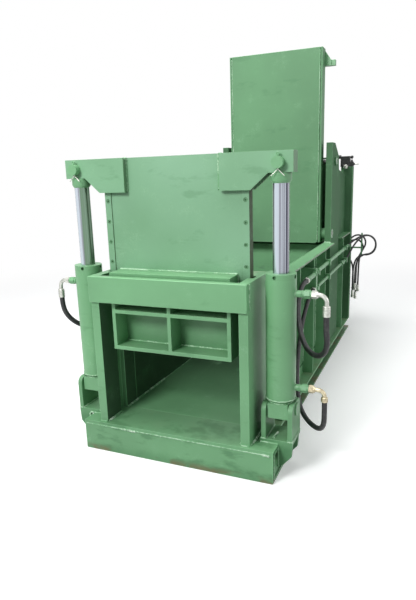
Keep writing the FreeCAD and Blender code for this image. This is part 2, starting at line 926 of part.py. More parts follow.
def lock_bar():
    z1 = lid_top - lock_bar_below_top + lock_bar_height
    z0 = z1 - lock_bar_height
    x1 = wall_outer + lock_bar_past_wall
    bar = block(lock_bar_inner, x1, lid_rear, lid_rear + lock_bar_depth, z0, z1)
    x0 = lid_frame_half
    outline = [(x0, z0), (x0 + 46, z0), (x0 + 46, z1), (x0, z1 + 66)]
    return joined([bar, prism_y(outline, lid_rear - lock_gusset_plate, lid_rear)])


# ---- lid cylinders

def lid_cylinder_line():
    start = V(lid_cylinder_x, lid_shaft_y, lid_shaft_z)
    end = V(lid_cylinder_x, hinge_y - lug_forward, hinge_z + lug_above)
    along = end - start
    length = along.Length
    return start, length, along.normalize()


def lid_barrel():
    start, length, along = lid_cylinder_line()
    half = lid_eye_thick / 2
    x = lid_cylinder_x
    mouth_at = length - lid_head_from_eye
    tube_at = lid_base_eye_r - 4
    eye = round_x(x - half, x + half, lid_shaft_y, lid_shaft_z, lid_base_eye_r)
    tube = Part.makeCylinder(lid_tube_r, mouth_at - tube_at, start + along * tube_at, along)
    bore = Part.makeCylinder(lid_bore_r, mouth_at - lid_head_length - lid_bore_start,
                             start + along * lid_bore_start, along)
    mouth = Part.makeCylinder(lid_rod_r + running_gap, lid_head_length + 2,
                              start + along * (mouth_at - lid_head_length - 1), along)
    hole = round_x(x - lid_tube_r, x + lid_tube_r, lid_shaft_y, lid_shaft_z,
                   lid_shaft_r + shaft_gap)
    return without(joined([eye, tube]), [bore, mouth, hole])


def lid_rod():
    start, length, along = lid_cylinder_line()
    half = lid_eye_thick / 2
    x = lid_cylinder_x
    centre = start + along * length
    rod_at = lid_bore_start + 8
    rod = Part.makeCylinder(lid_rod_r, length - lid_eye_r + 6 - rod_at, start + along * rod_at,
                            along)
    piston = Part.makeCylinder(lid_bore_r - fit, lid_piston_length, start + along * rod_at, along)
    eye = round_x(x - half, x + half, centre.y, centre.z, lid_eye_r)
    return joined([rod, piston, eye])


# ---- main ram and its cylinder

def ram_box():
    x = chamber_half - ram_clear
    z0 = floor_top + ram_clear
    z1 = wall_top - ram_top_gap
    body = block(-x, x, ram_face_y, ram_face_y + ram_length, z0, z1)
    room = block(-x + ram_wall, x - ram_wall, ram_back_y, ram_face_y + ram_length,
                 z0 + ram_wall, z1 - ram_wall)
    return body.cut(room)


def main_rod():
    flange = round_y(0, ram_back_y, ram_back_y + rod_flange_thick, main_axis_z, rod_flange_r)
    rod = round_y(0, ram_back_y, main_piston_y, main_axis_z, main_rod_r)
    piston = round_y(0, main_piston_y, main_piston_y + main_piston_length, main_axis_z,
                     main_bore_r - fit)
    return joined([flange, rod, piston])


def flange_bolt_places():
    step = 360 / flange_bolt_count
    angles = [math.radians(step * (i + 0.5)) for i in range(flange_bolt_count)]
    return [(flange_bolt_circle_r * math.cos(a), main_axis_z + flange_bolt_circle_r * math.sin(a))
            for a in angles]


def flange_bolt(x, z):
    seat = crosshead_rear + main_flange_thick
    shank = round_y(x, crosshead_rear - flange_bolt_depth, seat, z, flange_bolt_r)
    head = hexagon_y(x, seat, seat + flange_bolt_head, z, flange_bolt_head_r)
    return joined([shank, head])


def main_barrel():
    tube = round_y(0, main_head_y, main_tube_rear, main_axis_z, main_tube_r)
    flange = round_y(0, crosshead_rear, crosshead_rear + main_flange_thick, main_axis_z,
                     main_flange_r)
    cuts = [round_y(0, main_bore_front, main_bore_rear, main_axis_z, main_bore_r),
            round_y(0, main_head_y, main_bore_front, main_axis_z, main_rod_r + running_gap)]
    cuts += [flange_bolt(x, z) for x, z in flange_bolt_places()]
    return without(joined([tube, flange]), cuts)


def crosshead_with_bolt_holes():
    return without(rear_crosshead(), [flange_bolt(x, z) for x, z in flange_bolt_places()])


def barrel_saddle():
    foot = block(-saddle_half, saddle_half, saddle_y - saddle_foot, saddle_y + saddle_foot,
                 0, saddle_foot_plate)
    web = block(-saddle_half, saddle_half, saddle_y - saddle_thick / 2,
                saddle_y + saddle_thick / 2, 0, main_axis_z)
    tube = round_y(0, main_head_y, main_tube_rear, main_axis_z, main_tube_r)
    return joined([foot, web]).cut(tube)


# ---- pipes and fittings

def elbow(out_from, port_z, run, bend, drop):
    nut = round_x(out_from, out_from + nut_length, cylinder_y, port_z, nut_r)
    x = out_from + nut_length
    centre = V(x + run, cylinder_y, port_z - bend)
    half = math.sqrt(0.5) * bend
    over = Part.LineSegment(V(x, cylinder_y, port_z), centre + V(0, 0, bend)).toShape()
    arc = Part.Arc(centre + V(0, 0, bend), centre + V(half, 0, half),
                   centre + V(bend, 0, 0)).toShape()
    down = Part.LineSegment(centre + V(bend, 0, 0), centre + V(bend, 0, -drop)).toShape()
    circle = Part.Circle(V(x, cylinder_y, port_z), V(1, 0, 0), elbow_r).toShape()
    pipe = Part.Wire([over, arc, down]).makePipeShell([Part.Wire([circle])], True, False)
    return [nut, pipe]


def upper_elbow(upper_boss):
    out = cylinder_x + tube_outer_r + upper_boss
    return elbow(out, upper_port_z, upper_elbow_run, upper_elbow_bend, upper_elbow_drop)


def lower_elbow():
    out = cylinder_x + tube_outer_r + lower_boss_length
    return elbow(out, lower_port_z, lower_elbow_run, lower_elbow_bend, lower_elbow_drop)


def upper_ferrule(upper_boss):
    x = cylinder_x + tube_outer_r + upper_boss + nut_length + upper_elbow_run + upper_elbow_bend
    top = upper_port_z - upper_elbow_bend - upper_elbow_drop
    return round_z(x, cylinder_y, top - upper_ferrule_length, top, ferrule_r)


def lower_ferrule():
    x = cylinder_x + tube_outer_r + lower_boss_length + nut_length + lower_elbow_run \
        + lower_elbow_bend
    top = lower_port_z - lower_elbow_bend - lower_elbow_drop
    return round_z(x, cylinder_y, top - lower_ferrule_length, top, ferrule_r)


def manifold():
    return block(wall_outer, wall_outer + manifold_width, manifold_y, manifold_y + manifold_depth,
                 manifold_low, manifold_high)


def left_hose_block():
    y1 = left_block_y + left_block_depth
    body = block(-wall_outer - manifold_width, -wall_outer, left_block_y, y1,
                 left_block_low, left_block_low + left_block_height)
    z = left_block_low + left_block_height / 2
    nut = round_y(-pipe_x, left_block_y - stub_nut_length, left_block_y, z, stub_nut_r)
    return [body, nut]


def stub_pipes():
    y0 = manifold_y - stub_length
    upper = round_y(stub_x, y0, manifold_y, stub_z, stub_r)
    upper_nut = round_y(stub_x, y0 - stub_nut_length, y0, stub_z, stub_nut_r)
    lower_nut = round_y(pipe_x, manifold_y - lower_stub_length, manifold_y, lower_pipe_z,
                        coupling_r)
    return [upper, upper_nut, lower_nut]


def side_pipes():
    y0 = manifold_y + manifold_depth
    wide = round_y(pipe_x, y0, upper_pipe_step, upper_pipe_z, pipe_r)
    thin = round_y(pipe_x, upper_pipe_step, upper_pipe_rear, upper_pipe_z, thin_pipe_r)
    lower = round_y(pipe_x, y0, lower_pipe_rear, lower_pipe_z, lower_pipe_r)
    nut = round_y(pipe_x, coupling_y, coupling_y + coupling_length, lower_pipe_z, coupling_r)
    return [joined([wide, thin]), joined([lower, nut])]


def pipe_clamps():
    clamps = []
    for y in stiffener_places():
        if manifold_y + manifold_depth < y < upper_pipe_step:
            for z, r in ((upper_pipe_z, pipe_r), (lower_pipe_z, lower_pipe_r)):
                clamps.append(pipe_clamp(y, z, r))
        elif y > upper_pipe_step:
            clamps.append(pipe_clamp(y, upper_pipe_z, thin_pipe_r))
            clamps.append(pipe_clamp(y, lower_pipe_z, lower_pipe_r))
    return clamps


def pipe_clamp(y, z, r):
    reach = r + clamp_margin
    middle = y + stiffener_plate / 2
    y0 = middle - clamp_length / 2
    if middle + clamp_length / 2 > lower_pipe_rear:
        y0 = lower_pipe_rear - clamp_length
    body = block(stiffener_outer, pipe_x + reach, y0, y0 + clamp_length, z - reach, z + reach)
    return body.cut(round_y(pipe_x, y0, y0 + clamp_length, z, r))


# ---- valve stand and rear hoses

def valve_stand():
    shell = block(wall_outer, stand_outer, stand_y, stand_y + stand_depth, rail_height, stand_top)
    room = block(wall_outer + stand_wall, stand_outer - stand_wall, stand_y + stand_wall,
                 stand_y + stand_depth, rail_height, stand_top - stand_wall)
    return shell.cut(room)


def lever_ears(x0, x1, z0, z1):
    half = lever_hub_length / 2 + fit
    ears = []
    for y in (stand_middle - half - lever_ear_plate, stand_middle + half):
        ears.append(block(x0, x1, y, y + lever_ear_plate, z0, z1))
    return ears


def lever_pin(x, z):
    half = lever_hub_length / 2 + fit + lever_ear_plate
    return round_y(x, stand_middle - half, stand_middle + half, z, lever_pin_r)


def valve_block():
    y0 = stand_y
    y1 = stand_y + stand_depth
    body = block(valve_inner, side_valve_x, y0, y1, stand_top, stand_top + valve_height)
    side_body = block(side_valve_x, stand_outer, y0, y1, stand_top, stand_top + side_valve_height)
    top = stand_top + side_valve_height
    ears = lever_ears(stand_outer, stand_outer + lever_ear_reach, side_lever_z - lever_hub_r,
                      side_lever_z + lever_hub_r)
    ears += lever_ears(knob_lever_x - lever_hub_r, knob_lever_x + lever_hub_r, top,
                       top + lever_ear_reach)
    pins = [lever_pin(side_lever_x + 1, side_lever_z), lever_pin(knob_lever_x, knob_lever_z + 1)]
    return [without(joined([body, side_body] + ears), pins)] + pins


def side_lever():
    x = side_lever_x + 1
    y = stand_middle
    half = lever_hub_length / 2
    hub = round_y(x, y - half, y + half, side_lever_z, lever_hub_r - 2)
    rod = round_x(x, x + side_lever_length, y, side_lever_z, lever_rod_r)
    tip = Part.makeSphere(lever_rod_r + 1, V(x + side_lever_length, y, side_lever_z))
    hole = round_y(x, y - half, y + half, side_lever_z, lever_pin_r + shaft_gap)
    return joined([hub, rod, tip]).cut(hole)


def knob_lever():
    x = knob_lever_x
    y = stand_middle
    z = knob_lever_z + 1
    half = lever_hub_length / 2
    hub = round_y(x, y - half, y + half, z, lever_hub_r - 2)
    rod = round_z(x, y, z, z + knob_lever_length, lever_rod_r - 1)
    knob = Part.makeSphere(knob_r, V(x, y, z + knob_lever_length + knob_r - 2))
    hole = round_y(x, y - half, y + half, z, lever_pin_r + shaft_gap)
    return joined([hub, rod, knob]).cut(hole)


def valve_pipe():
    x = valve_inner + valve_fitting_r
    low = stand_top - valve_fitting_length
    fitting = round_z(x, stand_middle, low, stand_top, valve_fitting_r - 1)
    pipe = round_z(x, stand_middle, wall_top, low, valve_pipe_r)
    return joined([fitting, pipe])


def hose_hanger():
    y0 = stand_middle - hanger_bar / 2
    y1 = stand_middle + hanger_bar / 2
    arm = block(stand_outer, hanger_x, y0, y1, hanger_arm_z, hanger_arm_z + hanger_bar)
    upright = block(hanger_x, hanger_x + hanger_bar, y0, y1, hanger_low, hanger_high)
    return joined([arm, upright])


def hose_end(point):
    x, y, z = point
    ferrule = round_z(x, y, z - end_ferrule_length, z, end_ferrule_r)
    nut = round_z(x, y, z - end_ferrule_length - end_nut_length, z - end_ferrule_length, end_nut_r)
    return [ferrule, nut]


def tube_along(points, r):
    # straight runs joined by tangent arcs, as large as the two runs beside each point allow
    pts = [V(*p) for p in points]
    edges = []
    radii = []
    here = pts[0]
    for before, corner, after in zip(pts, pts[1:], pts[2:]):
        back = before - corner
        ahead = after - corner
        setback = 0.45 * min(back.Length, ahead.Length)
        back.normalize()
        ahead.normalize()
        half_turn = (math.pi - back.getAngle(ahead)) / 2
        radius = setback / math.tan(half_turn)
        radii.append(radius)
        bisector = back + ahead
        bisector.normalize()
        reach = radius / math.cos(half_turn) - radius
        first = corner + back * setback
        last = corner + ahead * setback
        edges.append(Part.LineSegment(here, first).toShape())
        edges.append(Part.Arc(first, corner + bisector * reach, last).toShape())
        here = last
    edges.append(Part.LineSegment(here, pts[-1]).toShape())
    wire = Part.Wire(edges)
    circle = Part.Circle(pts[0], pts[1] - pts[0], r).toShape()
    tube = wire.makePipeShell([Part.Wire([circle])], True, False)
    expected = math.pi * r * r * wire.Length
    print(f"  hose {wire.Length:.0f} mm long, {2 * r:.0f} across, least radius {min(radii):.0f},"
          f" volume ratio {tube.Volume / expected:.4f}, radii {[round(v) for v in radii]}")
    return tube


right_upper_route = [
    (790, 60, 844), (790, 60, 774), (794, 82, 700), (772, 132, 630), (712, 205, 585),
    (645, 290, 592), (592, 380, 640), (555, 470, 700), (528, 570, 755), (510, 680, 808),
    (502, 790, 843), (502, 886, 843)]

right_lower_route = [
    (790, 60, 405), (790, 60, 338), (785, 82, 268), (757, 130, 216), (708, 192, 196),
    (646, 262, 205), (594, 340, 242), (562, 430, 298), (536, 522, 370), (520, 615, 448),
    (510, 705, 528), (503, 795, 602), (502, 885, 664), (502, 968, 708), (502, 1032, 738),
    (502, 1090, 738)]

left_upper_route = [
    (-774, 60, 844), (-774, 60, 788), (-760, 76, 729), (-734, 112, 678), (-694, 164, 640),
    (-644, 232, 616), (-590, 312, 616), (-548, 400, 645), (-522, 495, 690), (-508, 600, 732),
    (-503, 708, 770), (-502, 808, 806), (-502, 900, 825), (-502, 986, 825)]

rear_hose_a_route = [
    (502, 2580, 848), (502, 2635, 848), (508, 2690, 858), (534, 2738, 880), (576, 2768, 907),
    (630, 2772, 930), (685, 2772, 920), (730, 2772, 874), (730, 2772, 801), (686, 2772, 750),
    (622, 2771, 742), (578, 2764, 706), (558, 2754, 648), (553, 2748, 586), (552, 2747, 525),
    (552, 2747, 465)]

rear_hose_b_route = [
    (502, 2440, 738), (502, 2495, 738), (506, 2552, 748), (518, 2608, 782), (538, 2662, 832),
    (572, 2712, 884), (616, 2743, 922), (672, 2751, 930), (722, 2751, 896), (738, 2751, 834),
    (720, 2751, 774), (668, 2750, 742), (606, 2746, 744), (560, 2732, 706), (542, 2718, 648),
    (538, 2710, 586), (537, 2708, 525), (537, 2708, 462), (538, 2708, 400)]

# three more come out of the open back of the valve stand and hang beside it
stand_hose_routes = [
    [(466, 2768, 838), (466, 2812, 838), (472, 2849, 857), (491, 2870, 888), (525, 2876, 912),
     (567, 2874, 917), (605, 2870, 899), (626, 2866, 863), (626, 2862, 821), (607, 2858, 784),
     (585, 2853, 739), (573, 2850, 680), (569, 2850, 600), (568, 2849, 430)],
    [(441, 2768, 790), (441, 2828, 790), (447, 2865, 809), (466, 2886, 840), (500, 2892, 864),
     (542, 2890, 870), (580, 2886, 852), (601, 2882, 816), (601, 2878, 774), (582, 2874, 737),
     (560, 2869, 692), (548, 2866, 633), (545, 2866, 560), (544, 2865, 352)],
    [(472, 2768, 700), (472, 2808, 700), (483, 2845, 683), (498, 2866, 650), (511, 2866, 610),
     (517, 2860, 551), (519, 2857, 500), (520, 2856, 450)]]


stiffener_group = both_sides(right_stiffeners())
screw_group = both_sides([strip_screw(z) for z in screw_heights()])
bolt_group = [flange_bolt(x, z) for x, z in flange_bolt_places()]
elbow_group = upper_elbow(upper_boss_length) + lower_elbow() + [port_plug()]
elbow_group += [mirrored(shape) for shape in upper_elbow(left_boss_length)]
ferrule_group = [upper_ferrule(upper_boss_length), lower_ferrule(),
                 mirrored(upper_ferrule(left_boss_length))]
rear_ends = []
for route in [rear_hose_a_route, rear_hose_b_route] + stand_hose_routes:
    rear_ends += hose_end(route[-1])

save("front_sill", front_sill())
save("right_front_post", [right_post()])
save("left_front_post", [mirrored(right_post())])
save("lintel_plate", [lintel()])
save("chamber_floor", [chamber_floor()])
save("floor_beams", floor_beams())
save("chamber_walls", both_sides([right_wall()]))
save("side_flanges", both_sides(right_flanges()))
save("base_rails", both_sides([right_rail()]))
save("wall_stiffeners", stiffener_group)
save("front_cover", [front_cover()])
save("rear_cover", [rear_cover()])
save("towers", both_sides([right_tower()]))
save("tower_brace", [tower_brace()])
save("rear_crosshead", [crosshead_with_bolt_holes()])
save("lid_shafts", [hinge_shaft(), lid_cylinder_shaft()])
save("gate_brackets", both_sides([right_bracket()]))
save("gate_clevis_pins", both_sides([clevis_pin()]))
save("right_gate_barrel", [gate_barrel(upper_boss_length, False)])
save("left_gate_barrel", [mirrored(gate_barrel(left_boss_length, True))])
save("gate_cylinder_heads", both_sides([cylinder_head()]))
save("gate_rods", both_sides([gate_rod()]))
save("gate_pistons", both_sides([gate_piston()]))
save("rod_eyes", both_sides([rod_eye()]))
save("gate_plate", [gate_plate()])
save("gate_ribs", [gate_ribs()])
save("gate_strips", gate_strips())
save("strip_screws", screw_group)
save("gate_arms", both_sides([right_arm()]))
save("arm_pins", both_sides([arm_pin()]))
save("split_pins", both_sides([split_pin()]))
save("lid_skin", [lid_skin_plate()])
save("lid_frame", [lid_frame()])
save("lid_lug_pins", both_sides(lid_pin_stubs()))
save("lid_lock_bar", [lock_bar()])
save("lid_barrels", both_sides([lid_barrel()]))
save("lid_rods", both_sides([lid_rod()]))
save("ram_box", [ram_box()])
save("main_rod", [main_rod()])
save("main_barrel", [main_barrel()])
save("flange_bolts", bolt_group)
save("barrel_saddle", [barrel_saddle()])
save("port_elbows", elbow_group)
save("hose_ferrules", ferrule_group)
save("hose_manifolds", [manifold()] + left_hose_block())
save("stub_pipes", stub_pipes())
save("fixed_pipes", side_pipes() + [valve_pipe()])
save("pipe_clamps", pipe_clamps())
save("valve_stand", [valve_stand()])
save("valve_block", valve_block())
save("side_lever", [side_lever()])
save("knob_lever", [knob_lever()])
save("hose_hanger", [hose_hanger()])
save("right_upper_hose", [tube_along(right_upper_route, hose_r)])
save("right_lower_hose", [tube_along(right_lower_route, lower_hose_r)])
save("left_upper_hose", [tube_along(left_upper_route, hose_r)])
save("rear_hose_a", [tube_along(rear_hose_a_route, rear_hose_r)])
save("rear_hose_b", [tube_along(rear_hose_b_route, rear_hose_r)])
save("stand_hoses", [tube_along(route, rear_hose_r) for route in stand_hose_routes])
save("rear_hose_ends", rear_ends)
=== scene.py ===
import bpy
import bmesh
import json
import math
from mathutils import Matrix, Vector


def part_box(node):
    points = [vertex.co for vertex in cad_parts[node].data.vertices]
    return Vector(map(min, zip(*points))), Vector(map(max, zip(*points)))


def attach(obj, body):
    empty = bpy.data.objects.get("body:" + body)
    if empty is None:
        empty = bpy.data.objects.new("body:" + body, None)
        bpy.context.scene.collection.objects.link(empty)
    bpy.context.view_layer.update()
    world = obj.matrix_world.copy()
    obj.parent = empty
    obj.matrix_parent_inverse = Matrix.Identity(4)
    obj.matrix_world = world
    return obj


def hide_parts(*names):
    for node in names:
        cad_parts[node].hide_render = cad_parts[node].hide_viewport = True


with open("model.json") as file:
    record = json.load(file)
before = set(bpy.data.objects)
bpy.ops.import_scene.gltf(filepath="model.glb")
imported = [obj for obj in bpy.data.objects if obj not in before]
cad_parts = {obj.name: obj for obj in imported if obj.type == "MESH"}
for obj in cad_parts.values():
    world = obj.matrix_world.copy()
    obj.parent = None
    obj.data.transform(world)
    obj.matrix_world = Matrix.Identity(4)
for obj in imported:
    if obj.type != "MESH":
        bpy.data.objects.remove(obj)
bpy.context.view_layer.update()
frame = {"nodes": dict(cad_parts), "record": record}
nodes = frame["nodes"]
print("frame loaded,", len(nodes), "nodes")


white = (1, 1, 1, 1)


def placed(name, data):
    # a new object in the scene, at the origin
    made = bpy.data.objects.new(name, data)
    bpy.context.scene.collection.objects.link(made)
    return made


# camera and light

cameraLook = {
    "place": (1.2512, -2.4085, 1.5244),
    "yaw": 23.6,              # degrees to the left of +Y
    "pitch": 13.3,            # degrees down
    "roll": -1.8,
    "lens": 31.71,
    "sensor": 36,
    "nearest": 0.05,
    "farthest": 200,
}

lamps = {
    "keyLamp": {"place": (-1.4, -4.3, 4.0), "aim": (0.0, 0.2, 0.9), "size": 1.4, "power": 205.0},
    "topLamp": {"place": (-0.8, 0.2, 6.0), "aim": (0.0, 1.2, 0.0), "size": 4.0, "power": 250.0},
    "sideLamp": {"place": (6.4, 1.0, 3.4), "aim": (0.2, 1.4, 0.8), "size": 3.2, "power": 95.0},
    "rearLamp": {"place": (-3.0, 9.0, 4.5), "aim": (0.0, 2.5, 0.6), "size": 4.0, "power": 150.0},
}


def makeCamera():
    data = bpy.data.cameras.new("camera")
    data.sensor_width = cameraLook["sensor"]
    data.lens = cameraLook["lens"]
    data.clip_start = cameraLook["nearest"]
    data.clip_end = cameraLook["farthest"]
    camera = placed("camera", data)
    yaw, pitch, roll = [math.radians(cameraLook[turn]) for turn in ("yaw", "pitch", "roll")]
    ahead = Vector((-math.sin(yaw) * math.cos(pitch), math.cos(yaw) * math.cos(pitch), -math.sin(pitch)))
    right = Vector((math.cos(yaw), math.sin(yaw), 0))
    up = right.cross(ahead)
    rolledRight = right * math.cos(roll) + up * math.sin(roll)
    rolledUp = up * math.cos(roll) - right * math.sin(roll)
    turned = Matrix((rolledRight, rolledUp, -ahead)).transposed()
    camera.matrix_world = Matrix.Translation(cameraLook["place"]) @ turned.to_4x4()
    bpy.context.scene.camera = camera


def makeLamps():
    for name, lamp in lamps.items():
        data = bpy.data.lights.new(name, "AREA")
        data.size = lamp["size"]
        data.energy = lamp["power"]
        hung = placed(name, data)
        hung.location = lamp["place"]
        towards = Vector(lamp["aim"]) - Vector(lamp["place"])
        hung.rotation_euler = towards.to_track_quat("-Z", "Y").to_euler()


class Wire:
    # one socket of a node tree, so that masks can be written as sums and products
    def __init__(self, tree, socket):
        self.tree = tree
        self.socket = socket

    def math(self, operation, first, second):
        node = self.tree.nodes.new("ShaderNodeMath")
        node.operation = operation
        for slot, value in zip(node.inputs, (first, second)):
            if isinstance(value, Wire):
                self.tree.links.new(value.socket, slot)
            else:
                slot.default_value = value
        return Wire(self.tree, node.outputs[0])

    def __add__(self, other):
        return self.math("ADD", self, other)

    def __radd__(self, other):
        return self.math("ADD", other, self)

    def __sub__(self, other):
        return self.math("SUBTRACT", self, other)

    def __rsub__(self, other):
        return self.math("SUBTRACT", other, self)

    def __mul__(self, other):
        return self.math("MULTIPLY", self, other)

    def __rmul__(self, other):
        return self.math("MULTIPLY", other, self)


class Tree:
    # any node tree, and the one way in which its nodes are added
    def __init__(self, tree):
        self.tree = tree

    def add(self, kind, settings, sockets, out=0):
        node = self.tree.nodes.new(kind)
        for key, value in settings.items():
            setattr(node, key, value)
        for key, value in sockets.items():
            slot = self.slotOf(node, key)
            if isinstance(value, Wire):
                self.tree.links.new(value.socket, slot)
            else:
                slot.default_value = value
        if len(node.outputs):
            return Wire(self.tree, node.outputs[out])

    def slotOf(self, node, key):
        if isinstance(key, int):
            return node.inputs[key]
        for slot in node.inputs:
            if slot.identifier == key:
                return slot
        return node.inputs[key]


class Finish(Tree):
    # a material, or the world, and what its tree is often made of
    def __init__(self, name, owner=None):
        self.owner = owner or bpy.data.materials.new(name)
        self.owner.use_nodes = True
        super().__init__(self.owner.node_tree)
        self.tree.nodes.clear()

    def place(self, out="Object"):
        return self.add("ShaderNodeTexCoord", {}, {}, out)

    def stretched(self, place, scales):
        return self.add("ShaderNodeVectorMath", {"operation": "MULTIPLY"}, {0: place, 1: scales})

    def parts(self, vector):
        split = self.add("ShaderNodeSeparateXYZ", {}, {"Vector": vector})
        node = split.socket.node
        return [Wire(self.tree, node.outputs[i]) for i in range(3)]

    def noise(self, place, scale, detail=3.0, roughness=0.55):
        sockets = {"Vector": place, "Scale": scale, "Detail": detail, "Roughness": roughness}
        return self.add("ShaderNodeTexNoise", {}, sockets)

    def between(self, value, low, high, start=0.0, end=1.0):
        sockets = {0: value, 1: low, 2: high, 3: start, 4: end}
        return self.add("ShaderNodeMapRange", {"interpolation_type": "SMOOTHSTEP"}, sockets)

    def absolute(self, value):
        return self.add("ShaderNodeMath", {"operation": "ABSOLUTE"}, {0: value})

    def greatest(self, first, second):
        return self.add("ShaderNodeMath", {"operation": "MAXIMUM"}, {0: first, 1: second})

    def blend(self, amount, first, second):
        sockets = {"Factor_Float": amount, "A_Color": first, "B_Color": second}
        return self.add("ShaderNodeMix", {"data_type": "RGBA"}, sockets, 2)

    def toned(self, colour, tone):
        return self.add("ShaderNodeVectorMath", {"operation": "SCALE"}, {0: colour[:3], "Scale": tone})

    def bump(self, height, distance, strength=1.0):
        sockets = {"Height": height, "Distance": distance, "Strength": strength}
        return self.add("ShaderNodeBump", {}, sockets)

    def shaded(self, sockets):
        surface = self.add("ShaderNodeBsdfPrincipled", {}, sockets)
        self.add("ShaderNodeOutputMaterial", {}, {"Surface": surface})
        return self.owner


stageLook = {
    "size": 60.0,
    "middle": (0, 1.2, 0),
    "floorColour": (0.86, 0.86, 0.86, 1),
    "grainColour": (0.80, 0.80, 0.80, 1),
    "grainScale": 7.0,
    "grainDepth": 0.12,
    "bounceColour": (0.42, 0.43, 0.42, 1),    # what the floor sends back up to the machine
    "cameraLift": 0.30,       # added to the floor where the camera sees it, so that it reads as white
    "fadeNear": 2.6,
    "fadeFar": 6.5,
    "skyLight": (0.93, 0.97, 1.0, 1),
    "skyStrength": 0.25,
}


def shownRays(look):
    # camera, glossy and transmission rays, so that metal shows the same background as the camera sees
    path = look.add("ShaderNodeLightPath", {}, {}, "Is Camera Ray")
    rays = path.socket.node
    glossy = Wire(look.tree, rays.outputs["Is Glossy Ray"])
    through = Wire(look.tree, rays.outputs["Is Transmission Ray"])
    return look.add("ShaderNodeClamp", {}, {"Value": path + glossy + through})


def floorFinish():
    look = Finish("floorFinish")
    grain = look.noise(look.place(), stageLook["grainScale"])
    colour = look.blend(grain * stageLook["grainDepth"], stageLook["floorColour"], stageLook["grainColour"])
    seen = shownRays(look)
    colour = look.blend(seen, stageLook["bounceColour"], colour)
    diffuse = look.add("ShaderNodeBsdfDiffuse", {}, {"Color": colour})
    lift = seen * stageLook["cameraLift"]
    glow = look.add("ShaderNodeEmission", {}, {"Color": white, "Strength": lift})
    near = look.add("ShaderNodeAddShader", {}, {0: diffuse, 1: glow})
    offset = look.add("ShaderNodeVectorMath", {"operation": "SUBTRACT"},
                      {0: look.place(), 1: stageLook["middle"]})
    away = look.add("ShaderNodeVectorMath", {"operation": "LENGTH"}, {0: offset}, "Value")
    fade = look.between(away, stageLook["fadeNear"], stageLook["fadeFar"]) * seen
    far = look.add("ShaderNodeEmission", {}, {"Color": white, "Strength": 1.0})
    faded = look.add("ShaderNodeMixShader", {}, {0: fade, 1: near, 2: far})
    look.add("ShaderNodeOutputMaterial", {}, {"Surface": faded})
    return look.owner


def makeStage():
    half = stageLook["size"] / 2
    mesh = bpy.data.meshes.new("floor")
    corners = [(-half, -half, 0), (half, -half, 0), (half, half, 0), (-half, half, 0)]
    mesh.from_pydata(corners, [], [(0, 1, 2, 3)])
    mesh.materials.append(floorFinish())
    placed("floor", mesh)


def makeSky():
    world = bpy.data.worlds.new("studio")
    bpy.context.scene.world = world
    sky = Finish("studio", world)
    soft = sky.add("ShaderNodeBackground", {}, {"Color": stageLook["skyLight"],
                                                "Strength": stageLook["skyStrength"]})
    backdrop = sky.add("ShaderNodeBackground", {}, {"Color": white, "Strength": 1.0})
    mixed = sky.add("ShaderNodeMixShader", {}, {0: shownRays(sky), 1: soft, 2: backdrop})
    sky.add("ShaderNodeOutputWorld", {}, {"Surface": mixed})


bpy.context.scene.view_settings.view_transform = "Standard"
makeCamera()
makeLamps()
makeStage()
makeSky()
print("camera, lamps and floor made")


# finishes

paintLook = {
    "green": (0.185, 0.425, 0.212, 1),
    "deepGreen": (0.070, 0.215, 0.090, 1),     # dark green: stains, and painted shade in corners, beside welds and near the ground
    # colour of the painted sheen
    "hazeColour": (0.52, 0.54, 0.68, 1),
    "chalkGreen": (0.36, 0.60, 0.39, 1),       # overspray and rubbed places
    "weldGreen": (0.46, 0.70, 0.48, 1),
    "paleGreen": (0.74, 0.90, 0.74, 1),
    "dustColour": (0.23, 0.20, 0.14, 1),
    "bareBrown": (0.060, 0.060, 0.032, 1),     # sawn ends that the paint hardly covers, and painted shade on faces that look down
    "rustColour": (0.20, 0.125, 0.065, 1),
    "patchScale": 2.2,
    "patchDepth": 0.52,        # how much the tone differs from patch to patch
    "cloudScale": 8.0,
    "cloudDepth": 0.12,
    "grainScale": 160.0,
    "grainDepth": 0.04,
    "smearScale": (5.0, 5.0, 14.0),
    "rubScale": (46.0, 1.4, 10.0),             # rubbed by the bales, along the machine
    # heights where the painted sheen fades in
    "hazeFrom": 0.90,
    "hazeTo": 1.05,
    "grimeFade": 0.075,
    "chalk": 0.25,
    "rust": 0.7,
    "rustTop": 0.045,
    "roughness": 0.33,
    "peelDistance": 0.00025,
    "waveDistance": 0.0035,
    "chamberHalf": 0.400,
    "pocketTop": 1.02,
    "flangeRim": 0.486,
}


greenDefaults = {
    "dust": 0.12,        # brown dust on what faces up
    "corners": 0.65,     # painted shade in corners and recesses, from ambient occlusion
    "reach": 0.13,       # how far the painted shade in corners reaches
    "smears": 0.30,
    "smearsFrom": 0.56,  # lower for more of them
    "grime": 0.35,       # how dark it is near the ground: dirt, and painted shade where the top is raised
    "grimeTop": 0.075,
    "scuffs": 0.0,
    # how light the whole coat is; on some finishes a lighter or darker copy that holds painted light or
    # painted shade
    "shade": 1.0,
    "inner": 1.0,        # painted shade on the chamber's inner faces
    "depth": 0.0,        # painted shade: how much of the tone is gone at the chamber's far end
    "depthEnd": 1.5,
    "gloss": 0.5,
    "haze": 0.0,         # painted sheen, pale bluish, only above the lintel
    "pockets": 1.0,      # painted shade on the gate plate between its ribs, under the lintel
    "ends": 0.0,         # brown on faces to the left or right
    "under": 0.5,        # painted shade, brown, on faces that look down, where ends is set
    "rim": 0.0,          # brown along the flanges' outer edge
}


